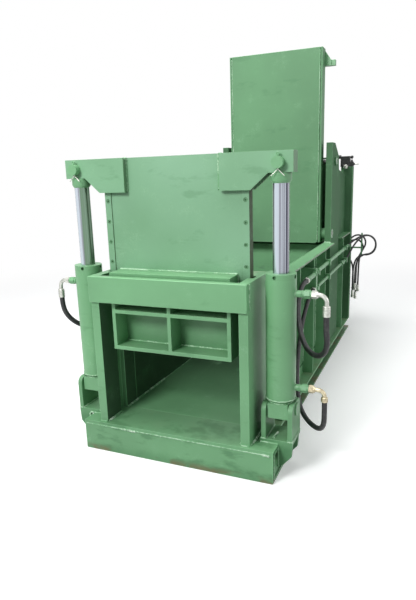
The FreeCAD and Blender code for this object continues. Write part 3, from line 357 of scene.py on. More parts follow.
class GreenPaint(Finish):
    # the machine's sprayed paint; look says how it differs from plate to plate
    def __init__(self, name, look):
        super().__init__(name)
        self.look = look
        self.where = place = self.place()
        x, self.y, self.height = self.parts(place)
        self.across = self.absolute(x)
        self.sideways, _, self.upward = self.parts(self.place("Normal"))
        self.patches = self.noise(place, paintLook["patchScale"], 1.0, 0.4)
        self.clouds = self.noise(place, paintLook["cloudScale"], 5.0, 0.6)
        self.smears = self.noise(self.stretched(place, paintLook["smearScale"]), 1.0, 4.0, 0.6)
        self.grains = self.noise(place, paintLook["grainScale"], 2.0)

    def tone(self):
        look = self.look
        tone = 1.0 + (self.patches - 0.5) * paintLook["patchDepth"]
        tone = tone + (self.clouds - 0.5) * paintLook["cloudDepth"]
        tone = (tone + (self.grains - 0.5) * paintLook["grainDepth"]) * look["shade"]
        # painted shade on the chamber's inner faces
        if look["inner"] < 1:
            half = paintLook["chamberHalf"]
            inside = self.between(self.across, half + 0.0016, half - 0.0004)
            tone = tone * (1.0 - inside * (1 - look["inner"]))
        # painted shade on the gate plate between the ribs, below the lintel
        if look["pockets"] < 1:
            top = paintLook["pocketTop"]
            tone = tone * (1.0 - self.between(self.height, top + 0.02, top - 0.02) * (1 - look["pockets"]))
        # painted shade, growing towards the chamber's far end
        if look["depth"]:
            tone = tone * (1.0 - self.between(self.y, 0.0, look["depthEnd"]) * look["depth"])
        return tone

    def sprayed(self):
        # the coat as it left the gun, with overspray, and a painted sheen above the lintel
        colour = self.toned(paintLook["green"], self.tone())
        # painted sheen, pale bluish, over the patches above the lintel
        if self.look["haze"]:
            high = self.between(self.height, paintLook["hazeFrom"], paintLook["hazeTo"])
            colour = self.blend(self.patches * high * self.look["haze"], colour, paintLook["hazeColour"])
        chalk = self.between(self.clouds * 0.6 + self.grains * 0.4, 0.56, 0.70) * paintLook["chalk"]
        return self.blend(chalk, colour, paintLook["chalkGreen"])

    def soiled(self, colour):
        # smears, rust, dust and grime, painted shade in corners and near the ground, with how much rougher
        # they make the paint
        look = self.look
        stain = self.between(self.smears, look["smearsFrom"], look["smearsFrom"] + 0.14) * look["smears"]
        # painted shade: ambient occlusion darkens the paint in corners and recesses
        hollow = self.add("ShaderNodeAmbientOcclusion", {"samples": 6}, {"Distance": look["reach"]}, "AO")
        corner = self.between(hollow + (self.clouds - 0.5) * 0.2, 0.66, 0.18) * look["corners"]
        colour = self.blend(self.greatest(corner, stain), colour, paintLook["deepGreen"])
        # darker near the ground: dirt, and on the brackets painted shade on the low faces under their
        # plates
        unevenHeight = self.height + (self.clouds - 0.5) * 0.10
        low = self.between(unevenHeight, look["grimeTop"], look["grimeTop"] - paintLook["grimeFade"])
        colour = self.blend(low * look["grime"], colour, paintLook["deepGreen"])
        nearGround = self.between(self.height, paintLook["rustTop"], 0.004)
        spots = self.between(self.smears * 0.5 + self.clouds * 0.5, 0.50, 0.60)
        colour = self.blend(spots * nearGround * paintLook["rust"], colour, paintLook["rustColour"])
        dusty = self.between(self.patches * 0.4 + self.clouds * 0.6, 0.34, 0.66)
        settled = self.between(self.upward, 0.55, 0.9) * dusty * look["dust"]
        colour = self.blend(settled, colour, paintLook["dustColour"])
        return colour, settled * 0.5 + corner * 0.2

    def rubbed(self, colour):
        rubs = self.noise(self.stretched(self.where, paintLook["rubScale"]), 1.0, 4.0, 0.7)
        marks = self.between(rubs, 0.56, 0.72) * self.look["scuffs"]
        return self.blend(marks, colour, paintLook["chalkGreen"])

    def bareEnds(self):
        # brown on faces to the left or right, and painted shade on faces that look down
        facesSide = self.between(self.absolute(self.sideways), 0.80, 0.95) * self.look["ends"]
        facesDown = self.between(self.upward, -0.3, -0.6) * self.look["under"]
        return self.greatest(facesSide, facesDown) * self.between(self.clouds, 0.25, 0.6, 0.6, 1.0)

    def bareRim(self):
        edge = paintLook["flangeRim"]
        return self.between(self.across + (self.clouds - 0.5) * 0.03, edge, edge + 0.007) * self.look["rim"]

    def finished(self):
        look = self.look
        colour, soil = self.soiled(self.sprayed())
        rough = paintLook["roughness"] + max(0.0, 1 - look["shade"]) * 0.55
        rough = rough + self.grains * 0.08 + self.patches * 0.08 + soil
        if look["scuffs"]:
            colour = self.rubbed(colour)
        if look["ends"]:
            # bare brown sides, and painted shade on downward faces
            bare = self.bareEnds()
            colour = self.blend(bare, colour, paintLook["bareBrown"])
            rough = rough + bare * 0.4
        if look["rim"]:
            colour = self.blend(self.bareRim(), colour, paintLook["bareBrown"])
        wave = self.bump(self.patches * 0.5 + self.clouds * 0.2, paintLook["waveDistance"])
        peel = {"Height": self.grains + self.clouds * 0.5, "Distance": paintLook["peelDistance"],
                "Strength": 0.6, "Normal": wave}
        return self.shaded({"Base Color": colour, "Roughness": rough,
                            "Normal": self.add("ShaderNodeBump", {}, peel),
                            "Specular IOR Level": look["gloss"] * min(1.0, look["shade"])})


def greenPaint(name, **changes):
    return GreenPaint(name, {**greenDefaults, **changes}).finished()


def weldPaint(name, pale):
    paint = Finish(name)
    place = paint.place()
    lumps = paint.noise(place, 70.0, 3.0)
    slow = paint.noise(place, 9.0, 2.0)
    bright = paint.between(lumps * 0.5 + slow * 0.5, 0.42, 0.60)
    colour = paint.blend(bright, paintLook["green"], pale)
    return paint.shaded({"Base Color": colour, "Roughness": 0.26 + lumps * 0.12,
                         "Normal": paint.bump(lumps, 0.0008, 0.8), "Specular IOR Level": 0.5})


gateCylinder = {"across": 0.566, "along": 0.060, "upperPort": 0.950, "lowerPort": 0.463}

# painted reflections on the chrome rods, set by the angle round each rod: bright and purple bands, a dark
# streak, dark green edges and the gate's green
rodLook = {
    "streakAngle": -0.62,      # angles start at +X, and the rod's front is at -pi / 2
    "streakHalf": 0.13,
    "purpleSide": (-1.75, -1.35),             # where each band starts and where it is full
    "gateSide": (-1.50, -1.15),
    "leftEdge": (-2.16, -2.36),
    "rightEdge": (-0.30, -0.06),
    "bright": (0.64, 0.71, 0.79, 1),
    "purple": (0.150, 0.125, 0.165, 1),
    "dark": (0.04, 0.035, 0.07, 1),
    "sideGreen": (0.055, 0.11, 0.065, 1),
    "gateGreen": (0.17, 0.30, 0.18, 1),       # painted reflection of the gate, on the left rod's side towards it
}


def chromeRod():
    # every colour here is painted reflection, fixed on the rod
    chrome = Finish("polishedRod")
    x, y, z = chrome.parts(chrome.place())
    sign = chrome.add("ShaderNodeMath", {"operation": "SIGN"}, {0: x})
    side = x - sign * gateCylinder["across"]
    ahead = y - gateCylinder["along"]
    angle = chrome.add("ShaderNodeMath", {"operation": "ARCTAN2"}, {0: ahead, 1: side})
    around = chrome.add("ShaderNodeCombineXYZ", {}, {"X": angle * 4.2, "Y": z * 0.25, "Z": x * 4.0})
    bands = chrome.noise(around, 1.6, 3.0, 0.6)
    hairs = chrome.noise(chrome.stretched(around, (14.0, 1.0, 1.0)), 1.0, 2.0)
    away = chrome.between(angle, *rodLook["purpleSide"])
    purple = chrome.between(bands + (hairs - 0.5) * 0.2, 0.40, 0.56) * (0.06 + away * 0.80)
    colour = chrome.blend(purple, rodLook["bright"], rodLook["purple"])
    fromStreak = chrome.absolute(angle + (bands - 0.5) * 0.3 - rodLook["streakAngle"])
    streak = chrome.between(fromStreak, rodLook["streakHalf"], rodLook["streakHalf"] - 0.08)
    leftRod = chrome.between(x, 0.0, -0.1)
    colour = chrome.blend(streak * (0.95 - leftRod * 0.6), colour, rodLook["dark"])
    gateSide = leftRod * chrome.between(angle + (bands - 0.5) * 0.5, *rodLook["gateSide"]) * 0.85
    colour = chrome.blend(gateSide, colour, rodLook["gateGreen"])
    leftEdge = chrome.between(angle, *rodLook["leftEdge"])
    rightEdge = chrome.between(angle, *rodLook["rightEdge"]) * (1 - leftRod * 0.7)
    colour = chrome.blend((leftEdge + rightEdge) * 0.85, colour, rodLook["sideGreen"])
    rough = 0.12 + hairs * 0.08
    return chrome.shaded({"Base Color": colour, "Roughness": rough, "Metallic": 0.6})


def plainChrome():
    chrome = Finish("groundChrome")
    hairs = chrome.noise(chrome.stretched(chrome.place(), (60.0, 60.0, 3.0)), 1.0, 3.0)
    colour = chrome.blend(hairs, (0.72, 0.72, 0.76, 1), (0.86, 0.86, 0.88, 1))
    return chrome.shaded({"Base Color": colour, "Roughness": 0.08 + hairs * 0.12, "Metallic": 1.0})


def platedSteel(name, light, dark, rough=0.32):
    plate = Finish(name)
    place = plate.place()
    stain = plate.noise(place, 38.0, 4.0, 0.65)
    fine = plate.noise(place, 420.0, 2.0)
    # darker and duller in the hollows, from ambient occlusion: dirt, and painted shade
    hollow = plate.add("ShaderNodeAmbientOcclusion", {"samples": 4}, {"Distance": 0.012}, "AO")
    colour = plate.blend(plate.between(stain, 0.35, 0.68), light, dark)
    grime = plate.between(hollow, 0.75, 0.25) * 0.7
    colour = plate.blend(grime, colour, (0.05, 0.048, 0.04, 1))
    normal = plate.bump(fine, 0.0001, 0.5)
    return plate.shaded({"Base Color": colour, "Roughness": rough + stain * 0.16 + grime * 0.3,
                         "Metallic": 0.9 - grime * 0.5, "Normal": normal})


def splitPinSteel():
    # the head of each split pin was sprayed with the arm, and its legs were not
    low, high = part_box("split_pins")
    pin = Finish("splitPinSteel")
    height = pin.parts(pin.place())[2]
    sprayed = pin.between(height, low.z * 0.5 + high.z * 0.5, low.z * 0.35 + high.z * 0.65)
    colour = pin.blend(sprayed, (0.60, 0.60, 0.55, 1), paintLook["green"])
    return pin.shaded({"Base Color": colour, "Roughness": 0.36, "Metallic": 0.85 - sprayed * 0.85})


def blackCasting():
    black = Finish("blackCasting")
    place = black.place()
    stain = black.noise(place, 30.0, 4.0)
    fine = black.noise(place, 520.0, 3.0)
    colour = black.blend(stain, (0.012, 0.013, 0.014, 1), (0.05, 0.052, 0.05, 1))
    return black.shaded({"Base Color": colour, "Roughness": 0.38 + stain * 0.25,
                         "Normal": black.bump(fine, 0.0003, 0.8)})


hoseLook = {
    "wrapsAlong": 420.0,       # turns of the cloth mark along one hose
    "wrapSlant": 3.0,
    "roundSteps": 7,
    "alongSteps": 10,
}


def hoseRubber():
    rubber = Finish("hoseRubber")
    along, around, _ = rubber.parts(rubber.place("UV"))
    place = rubber.place()
    wrap = along * hoseLook["wrapsAlong"] + around * hoseLook["wrapSlant"]
    ridge = rubber.add("ShaderNodeMath", {"operation": "PINGPONG"}, {0: wrap, 1: 1.0})
    worn = rubber.noise(place, 34.0, 4.0)
    fine = rubber.noise(place, 640.0, 2.0)
    dusty = rubber.between(worn, 0.46, 0.74) * 0.5
    colour = rubber.blend(dusty, (0.014, 0.014, 0.016, 1), (0.085, 0.085, 0.08, 1))
    normal = rubber.bump(ridge * 0.6 + fine * 0.4, 0.0005, 0.7)
    return rubber.shaded({"Base Color": colour, "Roughness": 0.40 + worn * 0.25, "Normal": normal})


finishes = {
    "paint": greenPaint("greenPaint"),
    # painted shade in corners, under the arms and between the ribs, and a painted sheen above the lintel
    "worn": greenPaint("greenPaintWorn", ends=0.85, corners=0.85, reach=0.16, haze=0.20, pockets=0.80),
    # painted shade on the arms' downward faces, and a painted sheen above the lintel
    "arm": greenPaint("greenPaintOnArms", ends=0.45, under=0.95, haze=0.16),
    "lid": greenPaint("greenPaintOnLid", corners=0.4, shade=0.72),
    "ribs": greenPaint("greenPaintOnRibs", corners=0.9),
    # a lighter copy of the paint: painted light on the gate barrels
    "barrel": greenPaint("greenPaintOnBarrels", shade=1.06),
    # painted shade in corners and on the low faces under the cylinder plates
    "bracket": greenPaint("greenPaintOnBrackets", corners=0.95, reach=0.08, shade=0.86, grime=0.75,
                          grimeTop=0.21),
    # a much darker copy of the paint on the towers, brace and valve stand: painted shade
    "tower": greenPaint("greenPaintOnTowers", corners=0.9, shade=0.42),
    # painted shade inside the chamber, growing towards its far end
    "walls": greenPaint("greenPaintOnWalls", inner=0.15, depth=0.3, shade=0.95),
    "flange": greenPaint("greenPaintOnFlanges", rim=0.8),
    "dusty": greenPaint("greenPaintDusty", dust=0.45, corners=0.8),
    # painted shade towards the chamber's far end
    "floorPlate": greenPaint("greenPaintFloor", dust=0.0, corners=0.8, scuffs=0.06, depth=0.84,
                             depthEnd=1.1, gloss=0.14, shade=1.02),
    "sill": greenPaint("greenPaintOnSill", smears=0.62, smearsFrom=0.50, shade=0.93),
    # a much lighter copy of the paint: painted light on the ram's face, which lies in the lid's shadow
    "ram": greenPaint("greenPaintOnRam", corners=0.1, shade=1.72),
    # painted shade in the strip screws' sockets and round their heads
    "socket": greenPaint("greenPaintInSockets", corners=1.0, reach=0.012, shade=0.80),
    # a lighter copy of the paint for the eased edges: a painted highlight
    "edge": greenPaint("greenPaintOnEdges", corners=0.5, shade=1.22),
    "weld": weldPaint("greenPaintOnWelds", paintLook["weldGreen"]),
    "paleWeld": weldPaint("palePaintOnWelds", paintLook["paleGreen"]),
    "rod": chromeRod(),
    "chrome": plainChrome(),
    "zinc": platedSteel("paleZinc", (0.66, 0.67, 0.62, 1), (0.44, 0.45, 0.41, 1)),
    "yellowZinc": platedSteel("yellowZinc", (0.66, 0.59, 0.42, 1), (0.42, 0.36, 0.24, 1)),
    "steel": platedSteel("oiledSteel", (0.34, 0.34, 0.35, 1), (0.16, 0.15, 0.14, 1), 0.36),
    "splitPin": splitPinSteel(),
    "black": blackCasting(),
    "rubber": hoseRubber(),
}
print("finishes made")


# helpers for pieces

def settle(piece, finish, body, replaced=()):
    if finish:
        piece.data.materials.clear()
        piece.data.materials.append(finishes[finish])
    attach(piece, body)
    for node in replaced:
        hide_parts(node)
    return piece


def smoothShaded(mesh, degrees=32):
    mesh.polygons.foreach_set("use_smooth", [True] * len(mesh.polygons))
    mesh.set_sharp_from_angle(angle=math.radians(degrees))


class Build:
    # gathers the shapes of one piece in one mesh
    def __init__(self):
        self.work = bmesh.new()

    def across(self, direction):
        # the direction, and two more square to it and to each other
        direction = Vector(direction).normalized()
        helper = Vector((0, 0, 1)) if abs(direction.z) < 0.9 else Vector((0, 1, 0))
        first = direction.cross(helper).normalized()
        return direction, first, direction.cross(first)

    def ring(self, centre, first, second, radius, count, turn=0.0):
        angles = [turn + 2 * math.pi * i / count for i in range(count)]
        return [self.work.verts.new(centre + (first * math.cos(a) + second * math.sin(a)) * radius)
                for a in angles]

    def skin(self, rings):
        for before, after in zip(rings, rings[1:]):
            count = len(before)
            for i in range(count):
                j = (i + 1) % count
                self.work.faces.new((before[i], before[j], after[j], after[i]))
        self.work.faces.new(list(reversed(rings[0])))
        self.work.faces.new(rings[-1])

    def turned(self, start, direction, profile, count=36, turn=0.0):
        direction, first, second = self.across(direction)
        rings = []
        for along, radius in profile:
            centre = Vector(start) + direction * along
            rings.append(self.ring(centre, first, second, radius, count, turn))
        self.skin(rings)

    def hexNut(self, start, direction, length, radius, turn=0.0):
        chamfer = radius * 0.12
        inner = radius * 0.90
        profile = [(0, inner), (chamfer * 0.6, radius), (length - chamfer * 0.6, radius), (length, inner)]
        self.turned(start, direction, profile, 6, turn)

    def tube(self, points, radius, count=24):
        points = [Vector(p) for p in points]
        rings = []
        first = self.across(points[1] - points[0])[1]
        for i, point in enumerate(points):
            before = points[max(i - 1, 0)]
            after = points[min(i + 1, len(points) - 1)]
            heading = (after - before).normalized()
            first = (first - heading * first.dot(heading)).normalized()
            rings.append(self.ring(point, first, heading.cross(first), radius, count))
        self.skin(rings)

    def done(self, name, finish, body, replaced=()):
        bmesh.ops.recalc_face_normals(self.work, faces=self.work.faces)
        mesh = bpy.data.meshes.new(name)
        self.work.to_mesh(mesh)
        self.work.free()
        smoothShaded(mesh)
        return settle(placed(name, mesh), finish, body, replaced)


def finishedMesh(holder):
    # the holder's mesh with its modifiers applied; the holder goes
    view = bpy.context.evaluated_depsgraph_get()
    mesh = bpy.data.meshes.new_from_object(holder.evaluated_get(view), depsgraph=view)
    bpy.data.objects.remove(holder)
    return mesh


# plates with eased edges, each standing for the CAD plate of its name: its finish, and the ease's width

edgeEase = {
    "front_sill": ("sill", 0.004), "right_front_post": ("walls", 0.003),
    "left_front_post": ("walls", 0.003), "lintel_plate": ("paint", 0.003),
    "chamber_floor": ("floorPlate", 0.002), "chamber_walls": ("walls", 0.0015),
    "side_flanges": ("flange", 0.002), "base_rails": ("dusty", 0.003),
    "wall_stiffeners": ("dusty", 0.0015), "floor_beams": ("dusty", 0.0015),
    "front_cover": ("dusty", 0.0015), "rear_cover": ("dusty", 0.0015),
    "towers": ("tower", 0.0025), "tower_brace": ("tower", 0.002),
    "rear_crosshead": ("paint", 0.003), "gate_brackets": ("bracket", 0.002),
    "right_gate_barrel": ("barrel", 0.0015), "left_gate_barrel": ("barrel", 0.0015),
    "gate_cylinder_heads": ("paint", 0.0012), "gate_plate": ("worn", 0.0015),
    "gate_ribs": ("ribs", 0.002), "gate_strips": ("worn", 0.001),
    "gate_arms": ("arm", 0.003), "rod_eyes": ("paint", 0.0015),
    "arm_pins": ("paint", 0.002), "gate_clevis_pins": ("paint", 0.0015),
    "lid_skin": ("lid", 0.002), "lid_frame": ("lid", 0.0015),
    "lid_lock_bar": ("paint", 0.002), "lid_barrels": ("paint", 0.0015),
    "main_barrel": ("paint", 0.003), "barrel_saddle": ("paint", 0.002),
    "hose_manifolds": ("paint", 0.002), "valve_stand": ("tower", 0.003),
    "hose_hanger": ("paint", 0.0015), "ram_box": ("ram", 0.002),
    "pipe_clamps": ("paint", 0.001), "valve_block": ("black", 0.0015),
    "fixed_pipes": ("paint", 0.0008),
}

bodyOfNode = {node: body for body, members in frame["record"]["behaviour"]["bodies"].items()
              for node in members}

# grids keep their triangles, as one merged face can't go round a pocket
gridNodes = {"gate_ribs", "lid_frame", "front_sill", "ram_box"}

easeLook = {
    "weldWithin": 0.00002,
    "flatWithin": 0.8,        # degrees between faces that are merged
    "segments": 2,
    "easedFrom": 38,          # degrees at an edge that is eased
    "sharpFrom": 60,
}


def easedPlate(node, finish, width):
    mesh = nodes[node].data.copy()
    work = bmesh.new()
    work.from_mesh(mesh)
    bmesh.ops.remove_doubles(work, verts=work.verts, dist=easeLook["weldWithin"])
    if node not in gridNodes:
        bmesh.ops.dissolve_limit(work, angle_limit=math.radians(easeLook["flatWithin"]), verts=work.verts,
                                 edges=work.edges, delimit={"NORMAL"})
    work.to_mesh(mesh)
    work.free()
    holder = placed(node + "_raw", mesh)
    ease = holder.modifiers.new("ease", "BEVEL")
    ease.width = width
    ease.segments = easeLook["segments"]
    ease.limit_method = "ANGLE"
    ease.angle_limit = math.radians(easeLook["easedFrom"])
    ease.use_clamp_overlap = True
    ease.miter_outer = "MITER_ARC"
    shade = holder.modifiers.new("shade", "WEIGHTED_NORMAL")
    shade.keep_sharp = True
    smoothShaded(mesh, easeLook["sharpFrom"])
    mesh.materials.clear()
    mesh.materials.append(finishes[finish])
    # eased edges take the lighter copy: a painted highlight along every edge
    if finish != "black":
        mesh.materials.append(finishes["edge"])
        ease.material = 1
    piece = placed("eased_" + node, finishedMesh(holder))
    return settle(piece, None, bodyOfNode[node], [node])


for node, (finish, width) in edgeEase.items():
    easedPlate(node, finish, width)
print("plates eased")


# nodes that keep their CAD shape

keptNodes = {
    "gate_rods": "rod", "lid_rods": "chrome", "main_rod": "chrome", "gate_pistons": "steel",
    "lid_shafts": "steel", "lid_lug_pins": "steel", "strip_screws": "socket", "flange_bolts": "steel",
    "split_pins": "splitPin", "side_lever": "zinc", "knob_lever": "black",
}

for node, finish in keptNodes.items():
    mesh = nodes[node].data
    mesh.materials.clear()
    mesh.materials.append(finishes[finish])
print("kept nodes given their finish")


# hose fittings of the gate cylinders

fittingLook = {
    "nutLength": 0.034,        # with its collar
    "collarLength": 0.009,
    "nutRadius": 0.0205,
    "pipeRadius": 0.0110,
    "pipeReach": 0.004,        # how far the bent pipe goes into the collar and the sleeve
    "bendSteps": 14,
    "adapterLength": 0.030,
    "adapterRadius": 0.0225,
    "adapterGap": 0.006,
    "rimSetback": 0.014,
}

upperElbow = {"port": gateCylinder["upperPort"], "run": 0.0005, "bend": 0.038, "drop": 0.014,
              "sleeve": 0.054, "hose": 0.0145, "finish": "zinc"}
lowerElbow = {"port": gateCylinder["lowerPort"], "run": 0.014, "bend": 0.031, "drop": 0.001,
              "sleeve": 0.026, "hose": 0.0135, "finish": "yellowZinc"}
fittings = {
    "rightUpper": {"side": 1, "boss": 0.718, **upperElbow},
    "rightLower": {"side": 1, "boss": 0.710, **lowerElbow},
    "leftUpper": {"side": -1, "boss": 0.702, **upperElbow},
}


def crimpedSleeve(length, hoseRadius, crimps=3):
    wide = hoseRadius + 0.0040
    narrow = wide - 0.0014
    profile = [(0, hoseRadius + 0.0008), (0.0008, wide - 0.0006)]
    step = (length - 0.010) / crimps
    for i in range(crimps):
        at = 0.003 + i * step
        profile += [(at, wide), (at + step * 0.62, wide)]
        profile += [(at + step * 0.70, narrow), (at + step * 0.92, narrow)]
    profile += [(length - 0.006, wide), (length - 0.003, wide - 0.001), (length, 0.0125)]
    return profile


def gateFitting(name, fitting):
    side, port, bend = fitting["side"], fitting["port"], fitting["bend"]
    y = gateCylinder["along"]
    out = (side, 0, 0)
    collar = fittingLook["collarLength"]
    elbowStart = fitting["boss"] + fittingLook["nutLength"]
    build = Build()
    build.hexNut((side * fitting["boss"], y, port), out, fittingLook["nutLength"] - collar,
                 fittingLook["nutRadius"], 0.3)
    profile = [(0, 0.0165), (0.004, 0.0165), (0.007, 0.0135), (collar, 0.0118)]
    build.turned((side * (elbowStart - collar), y, port), out, profile, 28)
    centreX = elbowStart + fitting["run"]
    centreZ = port - bend
    steps = fittingLook["bendSteps"]
    angles = [math.pi / 2 * (1 - i / steps) for i in range(steps + 1)]
    arc = [(side * (centreX + bend * math.cos(a)), y, centreZ + bend * math.sin(a)) for a in angles]
    endX = side * (centreX + bend)
    endZ = centreZ - fitting["drop"]
    reach = fittingLook["pipeReach"]
    bent = [(side * (elbowStart - reach), y, port)] + arc + [(endX, y, endZ - reach)]
    build.tube(bent, fittingLook["pipeRadius"])
    sleeve = fitting["sleeve"]
    build.turned((endX, y, endZ - sleeve), (0, 0, 1), crimpedSleeve(sleeve, fitting["hose"]), 40)
    build.done(name + "Fitting", fitting["finish"], "frame",
               ["port_elbows", "hose_ferrules"])


def portAdapters():
    build = Build()
    y = gateCylinder["along"]
    rim = [(0, 0.018), (0.002, 0.020), (0.004, 0.020), (0.006, 0.018)]
    for fitting in fittings.values():
        side, port = fitting["side"], fitting["port"]
        at = fitting["boss"] - fittingLook["adapterLength"] - fittingLook["adapterGap"]
        build.hexNut((side * at, y, port), (side, 0, 0), fittingLook["adapterLength"],
                     fittingLook["adapterRadius"], 0.12)
        build.turned((side * (at - fittingLook["rimSetback"]), y, port), (side, 0, 0), rim, 32)
    build.done("portAdapters", "paint", "frame")


plugLook = {"face": 0.165, "length": 0.012, "radius": 0.0165}


def rearPlug():
    plug = Build()
    x, y, z = -gateCylinder["across"], plugLook["face"], gateCylinder["lowerPort"]
    plug.hexNut((x, y + 0.001, z), (0, 1, 0), plugLook["length"], plugLook["radius"])
    plug.turned((x, y, z), (0, 1, 0), [(0, 0.0158), (0.002, 0.0172), (0.0035, 0.0172)], 28)
    plug.done("rearPortPlug", "zinc", "frame", ["port_elbows"])


for name, fitting in fittings.items():
    gateFitting(name, fitting)
portAdapters()
rearPlug()


# pipe ends at the manifolds

pipeEnds = {
    "across": 0.502,
    "upper": 0.843,
    "lower": 0.738,
    "stubRadius": 0.016,
    "stubStart": 0.886,
    "hoseNutRadius": 0.0215,
    "lowerEnd": 0.040,         # from the lower hose to the manifold
    "manifoldFront": 1.130,
}

pipeNutRows = [
    # along, height, length, radius, turn
    (1.170, 0.848, 0.030, 0.0225, 0.5),
    (1.170, 0.738, 0.030, 0.0225, 0.5),
    (2.205, 0.738, 0.034, 0.0225, 0.0),
    (2.262, 0.738, 0.028, 0.0225, 0.4),
    (2.322, 0.848, 0.026, 0.0195, 0.2),
    (2.552, 0.848, 0.028, 0.0165, 0.2),
    (2.412, 0.738, 0.028, 0.0185, 0.5),
]


def stubPipes():
    build = Build()
    x, z = pipeEnds["across"], pipeEnds["lower"]
    r = pipeEnds["stubRadius"]
    start, front = pipeEnds["stubStart"], pipeEnds["manifoldFront"]
    end = front - start
    profile = [(0.020, r), (0.050, r), (0.058, r + 0.003), (0.074, r + 0.003), (0.080, r), (end - 0.016, r),
               (end - 0.014, r + 0.005), (end, r + 0.006)]
    build.turned((x, start, pipeEnds["upper"]), (0, 1, 0), profile, 36)
    tail = pipeEnds["lowerEnd"]
    build.turned((x, front - tail, z), (0, 1, 0), [(0, 0.015), (0.012, 0.016), (tail, 0.0165)], 32)
    build.hexNut((x, front - 0.022, z), (0, 1, 0), 0.022, pipeEnds["hoseNutRadius"], 0.2)
    build.done("stubPipes", "paint", "frame", ["stub_pipes"])


def hoseNuts():
    build = Build()
    x = pipeEnds["across"]
    ends = [(pipeEnds["stubStart"], pipeEnds["upper"], 0.024),
            (pipeEnds["manifoldFront"] - pipeEnds["lowerEnd"], pipeEnds["lower"], 0.020)]
    for y, z, length in ends:
        build.hexNut((x, y, z), (0, 1, 0), length, pipeEnds["hoseNutRadius"], 0.4)
        build.turned((x, y + length, z), (0, 1, 0), [(0, 0.019), (0.006, 0.019), (0.009, 0.0165)], 28)
    build.done("hoseNuts", "zinc", "frame", ["stub_pipes"])


def pipeNuts():
    build = Build()
    for y, z, length, radius, turn in pipeNutRows:
        build.hexNut((pipeEnds["across"], y, z), (0, 1, 0), length, radius, turn)
    build.done("pipeNuts", "paint", "frame")


valveLook = {
    "capPlace": (0.385, 2.790, 1.650),
    "capLength": 0.030,
    "capRadius": 0.017,
    "screwSize": 0.010,
    "portPlace": (0.438, 2.760, 1.560),
    "portLength": 0.034,
    "portRadius": 0.021,
}


def valveFittings():
    x, y, z = valveLook["capPlace"]
    length, radius, screw = valveLook["capLength"], valveLook["capRadius"], valveLook["screwSize"]
    cap = Build()
    cap.turned((x, y, z), (-1, 0, 0), [(0, radius), (length - 0.004, radius), (length, radius - 0.005)], 32)
    cap.hexNut((x - length, y, z), (-1, 0, 0), screw, screw)
    cap.done("valveCap", "black", "frame")
    x, y, z = valveLook["portPlace"]
    length = valveLook["portLength"]
    port = Build()
    port.hexNut((x, y, z), (0, -1, 0), length, valveLook["portRadius"], 0.3)
    port.turned((x, y - length, z), (0, -1, 0), [(0, 0.015), (0.012, 0.015), (0.014, 0.011)], 28)
    port.done("valvePort", "zinc", "frame")


stubPipes()
hoseNuts()
pipeNuts()
valveFittings()
print("fittings made")


# hoses, each on the route of its CAD solid, in metres

